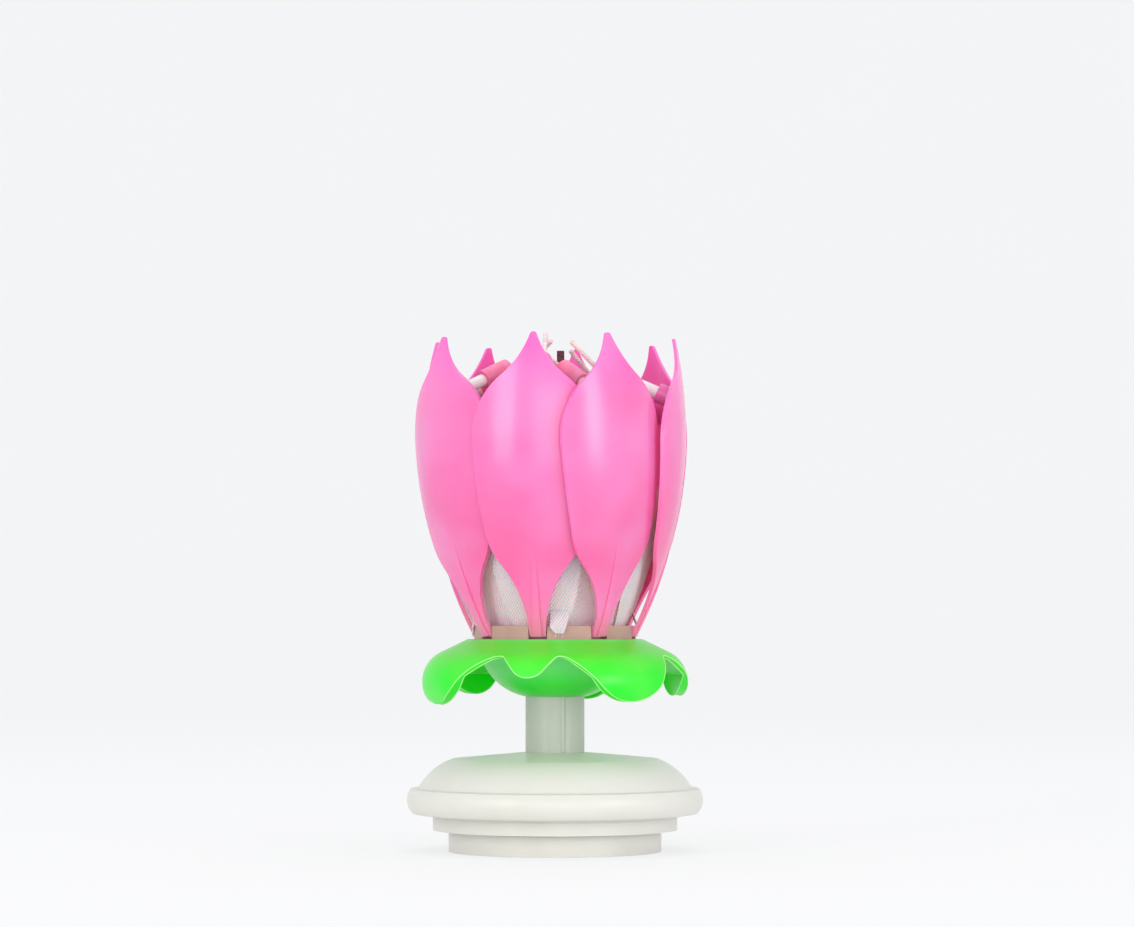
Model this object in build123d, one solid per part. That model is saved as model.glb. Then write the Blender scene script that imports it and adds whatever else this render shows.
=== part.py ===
from build123d import *
import math
import os

os.makedirs("parts", exist_ok=True)

# A lotus-flower birthday candle that plays a tune and turns on its foot.
# Millimetres, +Z up, origin at the centre of the foot's underside.
# The side with the short sepal faces -Y, and a bearing is the turn about +Z from there.

# Fits
seat_gap = 0.02
running_gap = 0.05
lift_gap = 0.25
turn_gap = 0.3
cut_over = 1.0

# Foot, which stands still
foot_radius = 25.7
foot_height = 4.9
foot_wall = 1.6
foot_plate = 1.8
boss_radius = 4.5

# Turning base, lower shell
lip_inset = 3.9
lip_height = 3.1
floor_wall = 1.5
parting_rise = 0.9
spigot_inset = 1.0
spigot_height = 1.1
boss_wall = 1.4

# Turning base, upper shell
base_wall = 1.4
rim_radius = 35.75
rim_nose_rise = 3.2
rim_height = 5.9
rim_edge_inset = 1.35
rim_top_inset = 0.85
groove_inset = 1.9
groove_rise = 0.3
dome_run = 8.2
dome_edge_rise = 6.9
dome_bulge = 1.0
dome_top_rise = 8.5
collar_depth = 5.7
ledge_wall = 1.0
ledge_bore_radius = 5.85

# Screws
cover_screw_radius = 1.0
cover_screw_length = 9.0
cover_screw_head_radius = 1.8
cover_screw_head_height = 1.2
cover_screw_inset = 5.0
cover_screw_count = 3
cover_screw_bearing = 135.0
pivot_screw_radius = 1.2
pivot_screw_length = 4.2
pivot_screw_head_radius = 2.3
pivot_screw_head_height = 1.1

# Gears
gear_module = 0.5
wheel_teeth = 30
pinion_teeth = 10
gear_face = 1.8
gear_floor = 0.3
mesh_play = 0.05
tip_thickness_share = 0.19
root_thickness_share = 0.56
addendum_share = 1.0
dedendum_share = 1.25
axle_radius = 0.75
first_gear_bearing = 240.0
second_gear_turn = 100.0
motor_turn = 50.0

# Motor
motor_radius = 6.0
motor_height = 8.0
motor_shaft_radius = 0.5
motor_shaft_depth = 3.0
motor_wall_height = 1.6

# Button cells and their tray
cell_radius = 5.8
cell_height = 5.35
cell_count = 3
cell_tray_wall = 1.2
cell_tray_offset = 17.2
contact_size = 9.0
contact_wall = 0.4
contact_button_radius = 2.0
contact_button_height = 0.3

# Circuit board, melody chip and piezo disc
board_length = 21.5
board_width = 10.0
board_wall = 1.0
board_height = 5.6
board_offset = 18.4
board_post_radius = 1.6
chip_radius = 2.4
chip_top_radius = 1.3
chip_height = 1.0
piezo_radius = 7.5
piezo_height = 0.5

# Stem
stem_radius = 7.125
stem_bore_radius = 5.925
stem_top_height = 37.4

# Calyx: bowl, rim and six sepals
calyx_wall = 0.9
calyx_floor_radius = 7.6
bowl_belly_radius = 13.2
bowl_belly_rise = 2.7
bowl_shoulder_radius = 17.4
bowl_shoulder_rise = 7.9
calyx_rim_radius = 21.1
calyx_rim_height = 51.2
rim_lip = 2.2
sepal_bend_radius = 29.2
sepal_bend_drop = 3.9
sepal_radius = 31.9
sepal_belly_drop = 8.6
sepal_tip_radius = 29.2
sepal_tip_drop = 16.0
sepal_wall = 0.8
sepal_straight_share = 0.8
notch_drop = 3.9
notch_half_width = 1.0
notch_round = 1.6
# Each sepal: bearing of its tip, its angles to the left and right, drop of its tip below the rim,
# and the shares of its width and drop at which its rounded tip begins
sepals = (
    (-11.8, 14.6, 14.6, 8.9, 0.42, 0.24),
    (39.0, 36.2, 25.0, 14.5, 0.60, 0.37),
    (104.5, 40.5, 32.0, 13.7, 0.50, 0.35),
    (165.5, 29.0, 29.0, 15.0, 0.50, 0.35),
    (222.0, 27.5, 27.5, 13.6, 0.50, 0.35),
    (286.0, 36.5, 47.6, 15.5, 0.66, 0.44),
)

# Petal hub
hub_sleeve_radius = 7.1
hub_plate_wall = 1.3
hub_plate_sink = 0.6
hub_ring_height = 3.2
hub_ring_radius = 19.5
hub_ring_wall = 2.05
spigot_length = 5.0
ledge_depth = 8.0

# Hinges: eight pins in the hub ring carry the petals
petal_count = 8
first_petal_bearing = -12.0
hinge_radius = 18.55
hinge_rise = 2.3
pin_radius = 0.4
pin_length = 6.4
knuckle_radius = 0.95
knuckle_width = 3.9
slot_side_gap = 0.3
slot_floor_gap = 0.03

# Petals: a cupped section bent along one tall arc
petal_wall = 0.8
petal_arc_radius = 102.6
petal_arc_height = 100.7
petal_belly_radius = 31.9
petal_cup_radius = 30.0
petal_cup_spread = 34.0
petal_root_rise = 0.6
petal_height = 71.5
petal_lap_turn = 5.0
# How far each petal leans to the right, in degrees
petal_leans = (0.15, -4.2, 0.0, 0.0, 0.0, 0.0, 0.0, -3.8)
petal_half_width = 14.5
petal_root_half_width = 1.95
# Ends of the outline's arcs, as shares of the height and the half width
petal_outline_shares = ((0.243, 0.572), (0.328, 0.782), (0.650, 1.0), (0.854, 0.540), (0.992, 0.055))
rib_half_width = 0.95
rib_height = 0.45
rib_length = 23.0
rib_end_half_width = 0.3
rib_middle_share = 0.7

# Small candles: post and wax lie on one line that points in and up, and the wick bends up from it.
# Each one, as set by hand: height of its seat, rise of its line in degrees, length and rise of its wick
candle_settings = (
    (105.5, 34.0, 11.5, 34.0),
    (105.5, 28.0, 12.0, 28.0),
    (108.0, 23.0, 8.5, 46.0),
    (106.5, 22.0, 9.0, 41.5),
    (105.5, 27.0, 8.0, 27.0),
    (105.5, 34.0, 9.8, 34.0),
    (106.5, 22.0, 9.0, 22.0),
    (108.0, 23.0, 10.2, 23.0),
)
boss_radius = 2.4
boss_length = 6.2
boss_sink = 3.2
post_length = 14.0
post_radius = 1.5
post_seat_gap = 0.05
candle_radius = 2.35
candle_length = 8.5
candle_edge = 0.5
candle_socket_depth = 3.0
wick_radius = 0.55

# Cloth petals, in two layers of four
cloth_wall = 0.35
cloth_layer_step = 0.8
cloth_belly_radius = 27.25
cloth_arc_radius = 112.0
cloth_cup_radius = 24.0
cloth_cup_spread = 34.0
cloth_height = 36.5
cloth_half_width = 11.6
cloth_root_half_width = 5.6
cloth_flank_width_share = 0.88
cloth_shoulder_share = 0.72
cloth_crown_width_share = 0.62
cloth_crown_share = 0.93
cloth_tip_half_width = 1.5

# Fountain, fuse and flame sensor
fountain_radius = 4.6
fountain_wall = 0.8
fountain_gap = 0.25
fountain_length = 66.0
fountain_nozzle_depth = 3.0
fuse_radius = 0.9
fuse_length = 9.5
fuse_offset = 1.35
sensor_length = 1.8
sensor_radius = 1.0
sensor_tip_radius = 0.7

# Lead wires
wire_radius = 0.4
wire_sides = 6
wire_pitch = 1.1
wire_offset = 5.3
wire_bend = 2.0
wire_drop = 2.3
motor_wire_reach = 5.0

# Radii of the base that follow from its rim
rim_edge_radius = rim_radius - rim_edge_inset
rim_top_radius = rim_radius - rim_top_inset
spigot_radius = rim_edge_radius - spigot_inset
lip_radius = spigot_radius - lip_inset
groove_radius = rim_top_radius - groove_inset
dome_edge_radius = groove_radius - dome_run
cover_screw_circle = lip_radius - cover_screw_inset

# Heights that follow
floor_height = foot_height + turn_gap
floor_top = floor_height + floor_wall
lip_top = floor_height + lip_height
boss_top = floor_top + lift_gap
parting_height = lip_top + parting_rise
rim_nose_height = parting_height + rim_nose_rise
rim_top_height = parting_height + rim_height
groove_height = rim_top_height + groove_rise
dome_edge_height = groove_height + dome_edge_rise
dome_top_height = groove_height + dome_top_rise
ledge_height = dome_top_height - collar_depth
stem_foot_height = ledge_height + ledge_wall
hub_foot_height = stem_top_height + calyx_wall
ring_top_height = calyx_rim_height + hub_ring_height
hinge_height = calyx_rim_height + hinge_rise
petal_root_height = calyx_rim_height + petal_root_rise
petal_tip_height = petal_root_height + petal_height
fountain_height = hub_foot_height + ledge_depth - ledge_wall
fountain_top = fountain_height + fountain_length
hub_top_height = calyx_rim_height + hub_plate_sink

# Gear sizes that follow
wheel_radius = wheel_teeth * gear_module / 2
pinion_radius = pinion_teeth * gear_module / 2
gear_centres = wheel_radius + pinion_radius + mesh_play
wheel_tip_radius = wheel_radius + gear_module * addendum_share
sun_height = boss_top
first_wheel_height = sun_height + gear_face + gear_floor
motor_floor = floor_top + seat_gap
motor_top = motor_floor + motor_height
second_wheel_height = motor_top + gear_floor
axle_foot_height = floor_height + gear_floor


def spot(distance, bearing):
    """Place in plan at a distance from the axis and a bearing from the front."""
    turn = math.radians(bearing)
    return distance * math.sin(turn), -distance * math.cos(turn)


def at(place, height):
    return Pos(place[0], place[1], height)


def rod(radius, height, foot, place=(0, 0)):
    """Upright cylinder that stands on a height."""
    return at(place, foot) * Cylinder(radius, height, align=(Align.CENTER, Align.CENTER, Align.MIN))


def turned(*edges):
    """Solid of revolution from a closed profile given as (radius, height) edges."""
    return revolve(make_face(edges), Axis.Z)


def profile(*points):
    """Straight edges through (radius, height) points."""
    return Polyline(*[(radius, 0, height) for radius, height in points])


def arc(*points):
    return ThreePointArc(*[(radius, 0, height) for radius, height in points])


def around(shape, bearing):
    return Rot(0, 0, bearing) * shape


def save(shape, node):
    export_step(shape, f"parts/{node}.step")


def grouped(shapes):
    """Several separate solids in one node."""
    return Compound(children=[solid for shape in shapes for solid in shape.solids()])


# Places of the inner pieces, in plan
first_gear_place = spot(gear_centres, first_gear_bearing)
second_step = spot(gear_centres, first_gear_bearing + second_gear_turn)
second_gear_place = (first_gear_place[0] + second_step[0], first_gear_place[1] + second_step[1])
motor_bearing = first_gear_bearing + second_gear_turn + motor_turn
motor_step = spot(gear_centres, motor_bearing)
motor_place = (second_gear_place[0] + motor_step[0], second_gear_place[1] + motor_step[1])
screw_places = [
    spot(cover_screw_circle, cover_screw_bearing + 360 * index / cover_screw_count)
    for index in range(cover_screw_count)
]
board_place = (0, board_offset)
board_floor = floor_top + board_height
board_post_places = [(side * (board_length / 2 - board_post_radius), board_offset) for side in (-1, 1)]


# Gears with straight-flanked teeth, a little slimmer than half the pitch

def tooth_ring(teeth, phase):
    """Outline of a gear; phase is the angle of one tooth's middle."""
    pitch = 360 / teeth
    radius = teeth * gear_module / 2
    tip = radius + gear_module * addendum_share
    root = radius - gear_module * dedendum_share
    points = []
    for index in range(teeth):
        middle = phase + index * pitch
        for reach, share, side in (
            (root, root_thickness_share, -1),
            (tip, tip_thickness_share, -1),
            (tip, tip_thickness_share, 1),
            (root, root_thickness_share, 1),
        ):
            turn = math.radians(middle + side * share * pitch / 2)
            points.append((reach * math.cos(turn), reach * math.sin(turn)))
    return make_face(Polyline(*points, close=True))


def gear(teeth, phase, foot, place, face=gear_face):
    return at(place, foot) * extrude(tooth_ring(teeth, phase), face)


def meshed_phase(phase, teeth, direction, next_teeth):
    """Phase of the next gear, whose gap then faces this gear's tooth."""
    share = (direction - phase) * teeth / 360
    return direction + 180 - (0.5 - share) * 360 / next_teeth


def direction_of(start, end):
    return math.degrees(math.atan2(end[1] - start[1], end[0] - start[0]))


toward_first = direction_of((0, 0), first_gear_place)
toward_second = direction_of(first_gear_place, second_gear_place)
toward_motor = direction_of(second_gear_place, motor_place)
first_pinion_phase = meshed_phase(0, wheel_teeth, toward_first, pinion_teeth)
second_pinion_phase = meshed_phase(0, wheel_teeth, toward_second, pinion_teeth)
motor_pinion_phase = meshed_phase(0, wheel_teeth, toward_motor, pinion_teeth)


def fixed_gear():
    """Gear on the foot's boss, with a countersink for the pivot screw's head."""
    body = gear(wheel_teeth, 0, sun_height, (0, 0))
    head_seat = sun_height + gear_face - pivot_screw_head_height
    body -= rod(pivot_screw_radius + seat_gap, gear_face, sun_height)
    return body - rod(pivot_screw_head_radius + seat_gap, gear_face, head_seat)


def compound_gear(place, pinion_phase, pinion_foot, wheel_foot):
    """Pinion and wheel moulded in one piece, with a bore for the axle."""
    pinion_face = wheel_foot - pinion_foot
    body = gear(pinion_teeth, pinion_phase, pinion_foot, place, pinion_face)
    body += gear(wheel_teeth, 0, wheel_foot, place)
    height = pinion_face + gear_face
    return body - rod(axle_radius + running_gap, height, pinion_foot, place)


# Foot and pivot

def foot_cup():
    rim = foot_radius - foot_wall
    under = foot_height - foot_plate
    cup = turned(
        profile(
            (foot_radius, 0),
            (foot_radius, foot_height),
            (boss_radius, foot_height),
            (boss_radius, boss_top),
            (pivot_screw_radius + seat_gap, boss_top),
            (pivot_screw_radius + seat_gap, foot_height - foot_plate / 2),
            (0, foot_height - foot_plate / 2),
            (0, under),
            (rim, under),
            (rim, 0),
            (foot_radius, 0),
        )
    )
    return cup


def screw(place, head_foot, head_height, head_radius, shank_radius, shank_length, up):
    """Pan-head screw; up says which way its shank points."""
    shank_foot = head_foot + head_height if up else head_foot - shank_length
    return rod(head_radius, head_height, head_foot, place) + rod(shank_radius, shank_length, shank_foot, place)


def pivot_screw():
    head_foot = sun_height + gear_face - pivot_screw_head_height + seat_gap
    length = min(pivot_screw_length, head_foot - foot_height + foot_plate / 2 - seat_gap)
    return screw(
        (0, 0), head_foot, pivot_screw_head_height, pivot_screw_head_radius, pivot_screw_radius, length, False
    )


# Turning base

screw_boss_top = floor_top + cover_screw_head_height
screw_seat_height = floor_height + cover_screw_head_height + seat_gap


def base_bottom_cover():
    """Floor, lip and sloping flange, with bosses for the screws, the axles and the board."""
    spigot_top = parting_height + spigot_height
    cover = turned(
        profile(
            (boss_radius + running_gap, floor_height),
            (lip_radius, floor_height),
            (lip_radius, lip_top),
            (spigot_radius, parting_height),
            (spigot_radius, spigot_top),
            (lip_radius - base_wall, lip_top + base_wall / 2),
            (lip_radius - base_wall, floor_top),
            (boss_radius + running_gap, floor_top),
            (boss_radius + running_gap, floor_height),
        )
    )
    for place in screw_places:
        cover += rod(cover_screw_head_radius + boss_wall / 2, screw_boss_top - floor_top, floor_top, place)
    pinion_gap = first_wheel_height - gear_floor - floor_top
    cover += rod(axle_radius + boss_wall, pinion_gap, floor_top, second_gear_place)
    ring = rod(motor_radius + running_gap + base_wall / 2, motor_wall_height, floor_top, motor_place)
    cover += ring - rod(motor_radius + running_gap, motor_wall_height, floor_top, motor_place)
    for place in board_post_places:
        cover += rod(board_post_radius, board_floor - floor_top, floor_top, place)
    for place in screw_places:
        cover -= rod(cover_screw_head_radius + seat_gap, screw_seat_height - floor_height, floor_height, place)
        cover -= rod(cover_screw_radius + seat_gap, screw_boss_top, floor_height, place)
    for place in (first_gear_place, second_gear_place):
        cover -= rod(axle_radius + seat_gap, first_wheel_height, axle_foot_height, place)
    return cover


dome_side_middle = (
    (groove_radius + dome_edge_radius + dome_bulge * math.sqrt(2)) / 2,
    (groove_height + dome_edge_height + dome_bulge * math.sqrt(2)) / 2,
)


def dome_outline():
    """Outside of the upper shell, from the parting edge over the rim to the stem."""
    return (
        arc(
            (rim_edge_radius, parting_height),
            (rim_radius, rim_nose_height),
            (rim_top_radius, rim_top_height),
        ),
        profile((rim_top_radius, rim_top_height), (groove_radius, groove_height)),
        arc(
            (groove_radius, groove_height),
            dome_side_middle,
            (dome_edge_radius, dome_edge_height),
        ),
    )


def base_top_shell():
    """Rim, dome and the collar that holds the stem."""
    inner_rim = spigot_radius + seat_gap
    stem_hole = stem_radius + seat_gap
    shell = turned(
        *dome_outline(),
        profile(
            (dome_edge_radius, dome_edge_height),
            (stem_hole, dome_top_height),
            (stem_hole, stem_foot_height),
            (ledge_bore_radius, stem_foot_height),
            (ledge_bore_radius, ledge_height),
            (stem_hole + base_wall, ledge_height),
            (stem_hole + base_wall, dome_top_height - base_wall),
            (dome_edge_radius - base_wall / 2, dome_edge_height - base_wall),
            (groove_radius - base_wall, groove_height - base_wall / 2),
            (inner_rim, rim_nose_height),
            (inner_rim, parting_height),
            (rim_edge_radius, parting_height),
        ),
    )
    inside = turned(
        *dome_outline(),
        profile(
            (dome_edge_radius, dome_edge_height),
            (0, dome_top_height),
            (0, parting_height),
            (rim_edge_radius, parting_height),
        ),
    )
    post_foot = screw_boss_top
    post_height = dome_top_height - post_foot
    depth = cover_screw_length - cover_screw_head_height
    for place in screw_places:
        post = rod(cover_screw_radius + boss_wall, post_height, parting_height, place) & inside
        post += rod(cover_screw_radius + boss_wall, parting_height - post_foot, post_foot, place)
        shell += post
    for place in screw_places:
        shell -= rod(cover_screw_radius + seat_gap, depth, post_foot - cut_over, place)
    return shell


def cover_screw(place):
    length = cover_screw_length - cover_screw_head_height - cut_over
    return screw(
        place,
        floor_height,
        cover_screw_head_height,
        cover_screw_head_radius,
        cover_screw_radius,
        length,
        True,
    )


# Drive

def gear_axle(place, top):
    return rod(axle_radius, top - axle_foot_height, axle_foot_height + seat_gap, place)


def motor_can():
    can = rod(motor_radius, motor_height, motor_floor, motor_place)
    bore_foot = motor_top - motor_shaft_depth
    return can - rod(motor_shaft_radius + running_gap, motor_shaft_depth, bore_foot, motor_place)


def motor_shaft():
    length = motor_shaft_depth + gear_floor + gear_face
    return rod(motor_shaft_radius, length, motor_top - motor_shaft_depth + running_gap, motor_place)


def motor_pinion():
    body = gear(pinion_teeth, motor_pinion_phase, second_wheel_height, motor_place)
    return body - rod(motor_shaft_radius + seat_gap, gear_face, second_wheel_height, motor_place)


# Power and sound

tray_radius = cell_radius + seat_gap
stack_length = cell_count * (cell_height + seat_gap)
contact_depth = contact_wall + contact_button_height + 2 * seat_gap
tray_length = stack_length + 2 * contact_depth + 2 * cell_tray_wall
tray_width = 2 * tray_radius + 2 * cell_tray_wall
tray_floor = floor_top + seat_gap
cell_axis_height = tray_floor + cell_tray_wall + tray_radius


def lying(radius, length, middle):
    """Cylinder along Y whose middle lies at a distance along Y, on the cells' line."""
    return Pos(cell_tray_offset, middle, cell_axis_height) * Rot(90, 0, 0) * Cylinder(radius, length)


def tray_block(width, length, height, foot):
    align = (Align.CENTER, Align.CENTER, Align.MIN)
    return Pos(cell_tray_offset, 0, foot) * Box(width, length, height, align=align)


def cell_holder():
    """Trough that holds the row of cells up to their middle, between two end walls."""
    height = cell_axis_height - tray_floor
    inner = tray_length - 2 * cell_tray_wall
    body = tray_block(tray_width, tray_length, height, tray_floor)
    body -= lying(tray_radius, stack_length, 0)
    pocket = (inner - stack_length) / 2
    for side in (-1, 1):
        place = Pos(cell_tray_offset, side * (stack_length + pocket) / 2, cell_axis_height)
        body -= place * Box(contact_size + 2 * seat_gap, pocket, contact_size + 2 * seat_gap)
    return body


def button_cells():
    step = cell_height + seat_gap
    first = -step * (cell_count - 1) / 2
    return grouped([lying(cell_radius, cell_height, first + index * step) for index in range(cell_count)])


def cell_contact(side):
    """Flat plate with a raised button that presses on the end cell."""
    button_middle = stack_length / 2 + seat_gap + contact_button_height / 2
    plate_middle = stack_length / 2 + seat_gap + contact_button_height + contact_wall / 2
    plate = Pos(cell_tray_offset, side * plate_middle, cell_axis_height) * Box(
        contact_size, contact_wall, contact_size
    )
    return plate + lying(contact_button_radius, contact_button_height, side * button_middle)


def circuit_board():
    foot = board_floor + seat_gap
    align = (Align.CENTER, Align.CENTER, Align.MIN)
    return at(board_place, foot) * Box(board_length, board_width, board_wall, align=align)


board_top = board_floor + 2 * seat_gap + board_wall


def melody_chip():
    """Drop of resin over the chip."""
    return at(board_place, board_top) * Cone(
        chip_radius, chip_top_radius, chip_height, align=(Align.CENTER, Align.CENTER, Align.MIN)
    )


def piezo_disc():
    return rod(piezo_radius, piezo_height, floor_top + seat_gap, board_place)


# Stem, calyx and hub

def stem_tube():
    height = stem_top_height - stem_foot_height
    tube = rod(stem_radius, height, stem_foot_height)
    return tube - rod(stem_bore_radius, height, stem_foot_height)


def sepal_profile(inset):
    """Sepal's cross-section edge: straight off the rim, then curling down to the tip."""
    bend = (sepal_bend_radius - inset / 2, calyx_rim_height - sepal_bend_drop - inset)
    belly = (sepal_radius - inset, calyx_rim_height - sepal_belly_drop)
    tip = (sepal_tip_radius - inset, calyx_rim_height - sepal_tip_drop)
    return bend, belly, tip


def sepal_outline(left_angle, right_angle, tip_drop, round_share, round_drop_share):
    """Front view of one sepal, from the notch line down to its rounded tip."""
    left = -sepal_bend_radius * math.sin(math.radians(left_angle))
    right = sepal_bend_radius * math.sin(math.radians(right_angle))
    notch = calyx_rim_height - notch_drop
    tip = calyx_rim_height - tip_drop
    round_height = tip + (notch - tip) * round_drop_share
    shoulders = (left + notch_half_width, right - notch_half_width)
    line = Polyline(
        (left * round_share, 0, round_height),
        (shoulders[0], 0, notch),
        (left, 0, notch),
        (left, 0, calyx_rim_height),
        (right, 0, calyx_rim_height),
        (right, 0, notch),
        (shoulders[1], 0, notch),
        (right * round_share, 0, round_height),
    )
    tip_arc = ThreePointArc(
        (right * round_share, 0, round_height), (0, 0, tip), (left * round_share, 0, round_height)
    )
    face = make_face([line, tip_arc])
    corners = [point for point in face.vertices() if min(abs(point.X - x) for x in shoulders) < seat_gap]
    return fillet(corners, notch_round)


def calyx():
    """Bowl on the stem's end, with a skirt of six sepals off its rim."""
    floor = stem_top_height
    hole = stem_bore_radius + seat_gap
    bowl = turned(
        arc(
            (calyx_floor_radius, floor),
            (bowl_belly_radius, floor + bowl_belly_rise),
            (bowl_shoulder_radius, floor + bowl_shoulder_rise),
        ),
        profile(
            (bowl_shoulder_radius, floor + bowl_shoulder_rise),
            (calyx_rim_radius - calyx_wall / 2, calyx_rim_height - calyx_wall),
            (calyx_rim_radius, calyx_rim_height),
            (calyx_rim_radius - rim_lip, calyx_rim_height),
            (bowl_shoulder_radius - calyx_wall, floor + bowl_shoulder_rise + calyx_wall / 2),
            (bowl_belly_radius - calyx_wall / 2, floor + bowl_belly_rise + calyx_wall),
            (calyx_floor_radius, floor + calyx_wall),
            (hole, floor + calyx_wall),
            (hole, floor),
            (calyx_floor_radius, floor),
        ),
    )
    bend, belly, tip = sepal_profile(0)
    inner_bend, inner_belly, inner_tip = sepal_profile(sepal_wall)
    rim_inside = (calyx_rim_radius - sepal_wall, calyx_rim_height - sepal_wall)
    out = (bend[0] - calyx_rim_radius) * sepal_straight_share
    down = (calyx_rim_height - bend[1]) * sepal_straight_share
    turn = (calyx_rim_radius + out, calyx_rim_height - down)
    shoulder = TangentArc((turn[0], 0, turn[1]), (belly[0], 0, belly[1]), tangent=(out, 0, -down))
    curl = TangentArc((belly[0], 0, belly[1]), (tip[0], 0, tip[1]), tangent=shoulder % 1)
    skirt = turned(
        profile((calyx_rim_radius, calyx_rim_height), turn),
        shoulder,
        curl,
        profile(tip, inner_tip),
        profile(inner_tip, inner_belly, inner_bend, rim_inside, (calyx_rim_radius, calyx_rim_height)),
    )
    ring_foot = calyx_rim_height - notch_drop
    keep = rod(sepal_radius + cut_over, notch_drop, ring_foot)
    for bearing, *shape in sepals:
        prism = extrude(sepal_outline(*shape), sepal_radius + cut_over, dir=(0, -1, 0))
        keep += around(prism, bearing)
    return bowl + (skirt & keep)


hub_bore_radius = fountain_radius + fountain_gap
wire_slot_radius = wire_offset + wire_radius + seat_gap


def petal_bearing(index):
    return first_petal_bearing + 360 * index / petal_count


def hinge_cylinder(radius, length):
    """Cylinder on the hinge line of a petal that faces the front."""
    return Pos(0, -hinge_radius, hinge_height) * Rot(0, 90, 0) * Cylinder(radius, length)


def petal_hub():
    """Sleeve for the fountain, plate, and a slotted ring that carries the hinge pins."""
    spigot = stem_bore_radius - running_gap
    ring_inner = hub_ring_radius - hub_ring_wall
    plate_foot = hub_top_height - hub_plate_wall - running_gap
    plate_edge = calyx_rim_radius - rim_lip - calyx_wall
    hub = turned(
        profile(
            (hub_bore_radius, hub_foot_height - spigot_length),
            (spigot, hub_foot_height - spigot_length),
            (spigot, hub_foot_height),
            (hub_sleeve_radius, hub_foot_height),
            (hub_sleeve_radius, plate_foot),
            (plate_edge, plate_foot),
            (plate_edge, calyx_rim_height),
            (hub_ring_radius, calyx_rim_height),
            (hub_ring_radius, ring_top_height),
            (ring_inner, ring_top_height),
            (ring_inner, hub_top_height),
            (hub_bore_radius, hub_top_height),
            (hub_bore_radius, fountain_height - fountain_gap),
            (fountain_radius - ledge_wall, fountain_height - fountain_gap),
            (fountain_radius - ledge_wall, fountain_height - fountain_gap - ledge_wall),
            (hub_bore_radius, fountain_height - fountain_gap - ledge_wall),
            (hub_bore_radius, hub_foot_height - spigot_length),
        )
    )
    slot_end = hinge_radius - knuckle_radius - slot_side_gap
    slot_depth = hub_ring_radius - slot_end + cut_over
    slot_box = Box(
        knuckle_width + 2 * slot_side_gap,
        slot_depth,
        hub_ring_height,
        align=(Align.CENTER, Align.MAX, Align.MIN),
    )
    pin_hole = hinge_cylinder(pin_radius + seat_gap, pin_length + seat_gap)
    cutter = Pos(0, -slot_end, calyx_rim_height + slot_floor_gap) * slot_box + pin_hole
    for index in range(petal_count):
        hub -= around(cutter, petal_bearing(index))
    groove_width = 2 * wire_radius + wire_pitch + 2 * seat_gap
    groove = Box(
        groove_width,
        wire_slot_radius,
        hub_top_height,
        align=(Align.CENTER, Align.MIN, Align.MIN),
    )
    return hub - Pos(0, 0, hub_foot_height - spigot_length - cut_over) * groove


def hinge_pin(bearing):
    return around(hinge_cylinder(pin_radius, pin_length), bearing)


# Petals, made facing the front and then turned to their bearings

def petal_face_radius(height, inset=0):
    """Radius of the petal's outer face at a height, moved inwards by an inset."""
    rise = height - petal_arc_height
    return petal_belly_radius - petal_arc_radius + math.sqrt((petal_arc_radius - inset) ** 2 - rise ** 2)


def bent_sheet(belly_radius, arc_radius, cup_radius, cup_spread, wall, foot, top):
    """Sheet on the front side, cupped across and bent along its height, between two heights."""
    cup_centre = cup_radius - belly_radius

    def cup_point(radius, turn):
        side = math.radians(turn)
        return radius * math.sin(side), cup_centre - radius * math.cos(side), petal_arc_height

    def cup_arc(radius, start, end):
        return ThreePointArc(*[cup_point(radius, turn) for turn in (start, 0, end)])

    inner_radius = cup_radius - wall
    section = make_face(
        [
            cup_arc(cup_radius, -cup_spread, cup_spread),
            Line(cup_point(cup_radius, cup_spread), cup_point(inner_radius, cup_spread)),
            cup_arc(inner_radius, cup_spread, -cup_spread),
            Line(cup_point(inner_radius, -cup_spread), cup_point(cup_radius, -cup_spread)),
        ]
    )
    bend_axis = Axis((0, arc_radius - belly_radius, petal_arc_height), (1, 0, 0))
    top_turn = math.degrees(math.asin((petal_arc_height - top) / arc_radius))
    foot_turn = math.degrees(math.asin((petal_arc_height - foot) / arc_radius))
    return revolve(section.rotate(bend_axis, top_turn), bend_axis, foot_turn - top_turn)


def symmetric_outline(side, tip):
    """Closed outline from its right side, which begins at the foot, and the arc over its tip."""
    foot = side[0] @ 0
    left = [mirror(edge, about=Plane.YZ) for edge in side]
    return make_face([Line((-foot.X, 0, foot.Z), (foot.X, 0, foot.Z)), *side, *left, tip])


def petal_outline():
    """Narrow root, wide belly, and a pointed tip with a small round end, in tangent arcs."""
    start = (petal_root_half_width, 0, petal_root_height)
    tangent = (0, 0, 1)
    side = []
    for height_share, width_share in petal_outline_shares:
        end = (petal_half_width * width_share, 0, petal_root_height + petal_height * height_share)
        edge = TangentArc(start, end, tangent=tangent)
        side.append(edge)
        start = end
        tangent = edge % 1
    tip = ThreePointArc(start, (0, 0, petal_tip_height), (-start[0], 0, start[2]))
    return symmetric_outline(side, tip)


def through_petal(outline):
    return extrude(outline, petal_belly_radius + cut_over, dir=(0, -1, 0))


def leant(shape, lean):
    """Turn a petal's blade so that its left edge laps its neighbour, then lean it."""
    hinge = Pos(0, -hinge_radius, hinge_height)
    return hinge * Rot(0, lean, 0) * Rot(0, 0, petal_lap_turn) * hinge.inverse() * shape


def petal_blade():
    """Blade with a raised midrib that fades out above the root."""
    foot = petal_root_height - cut_over
    top = petal_tip_height + cut_over
    sheet = bent_sheet(
        petal_belly_radius, petal_arc_radius, petal_cup_radius, petal_cup_spread, petal_wall, foot, top
    )
    return (sheet & through_petal(petal_outline())) + petal_rib()


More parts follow.
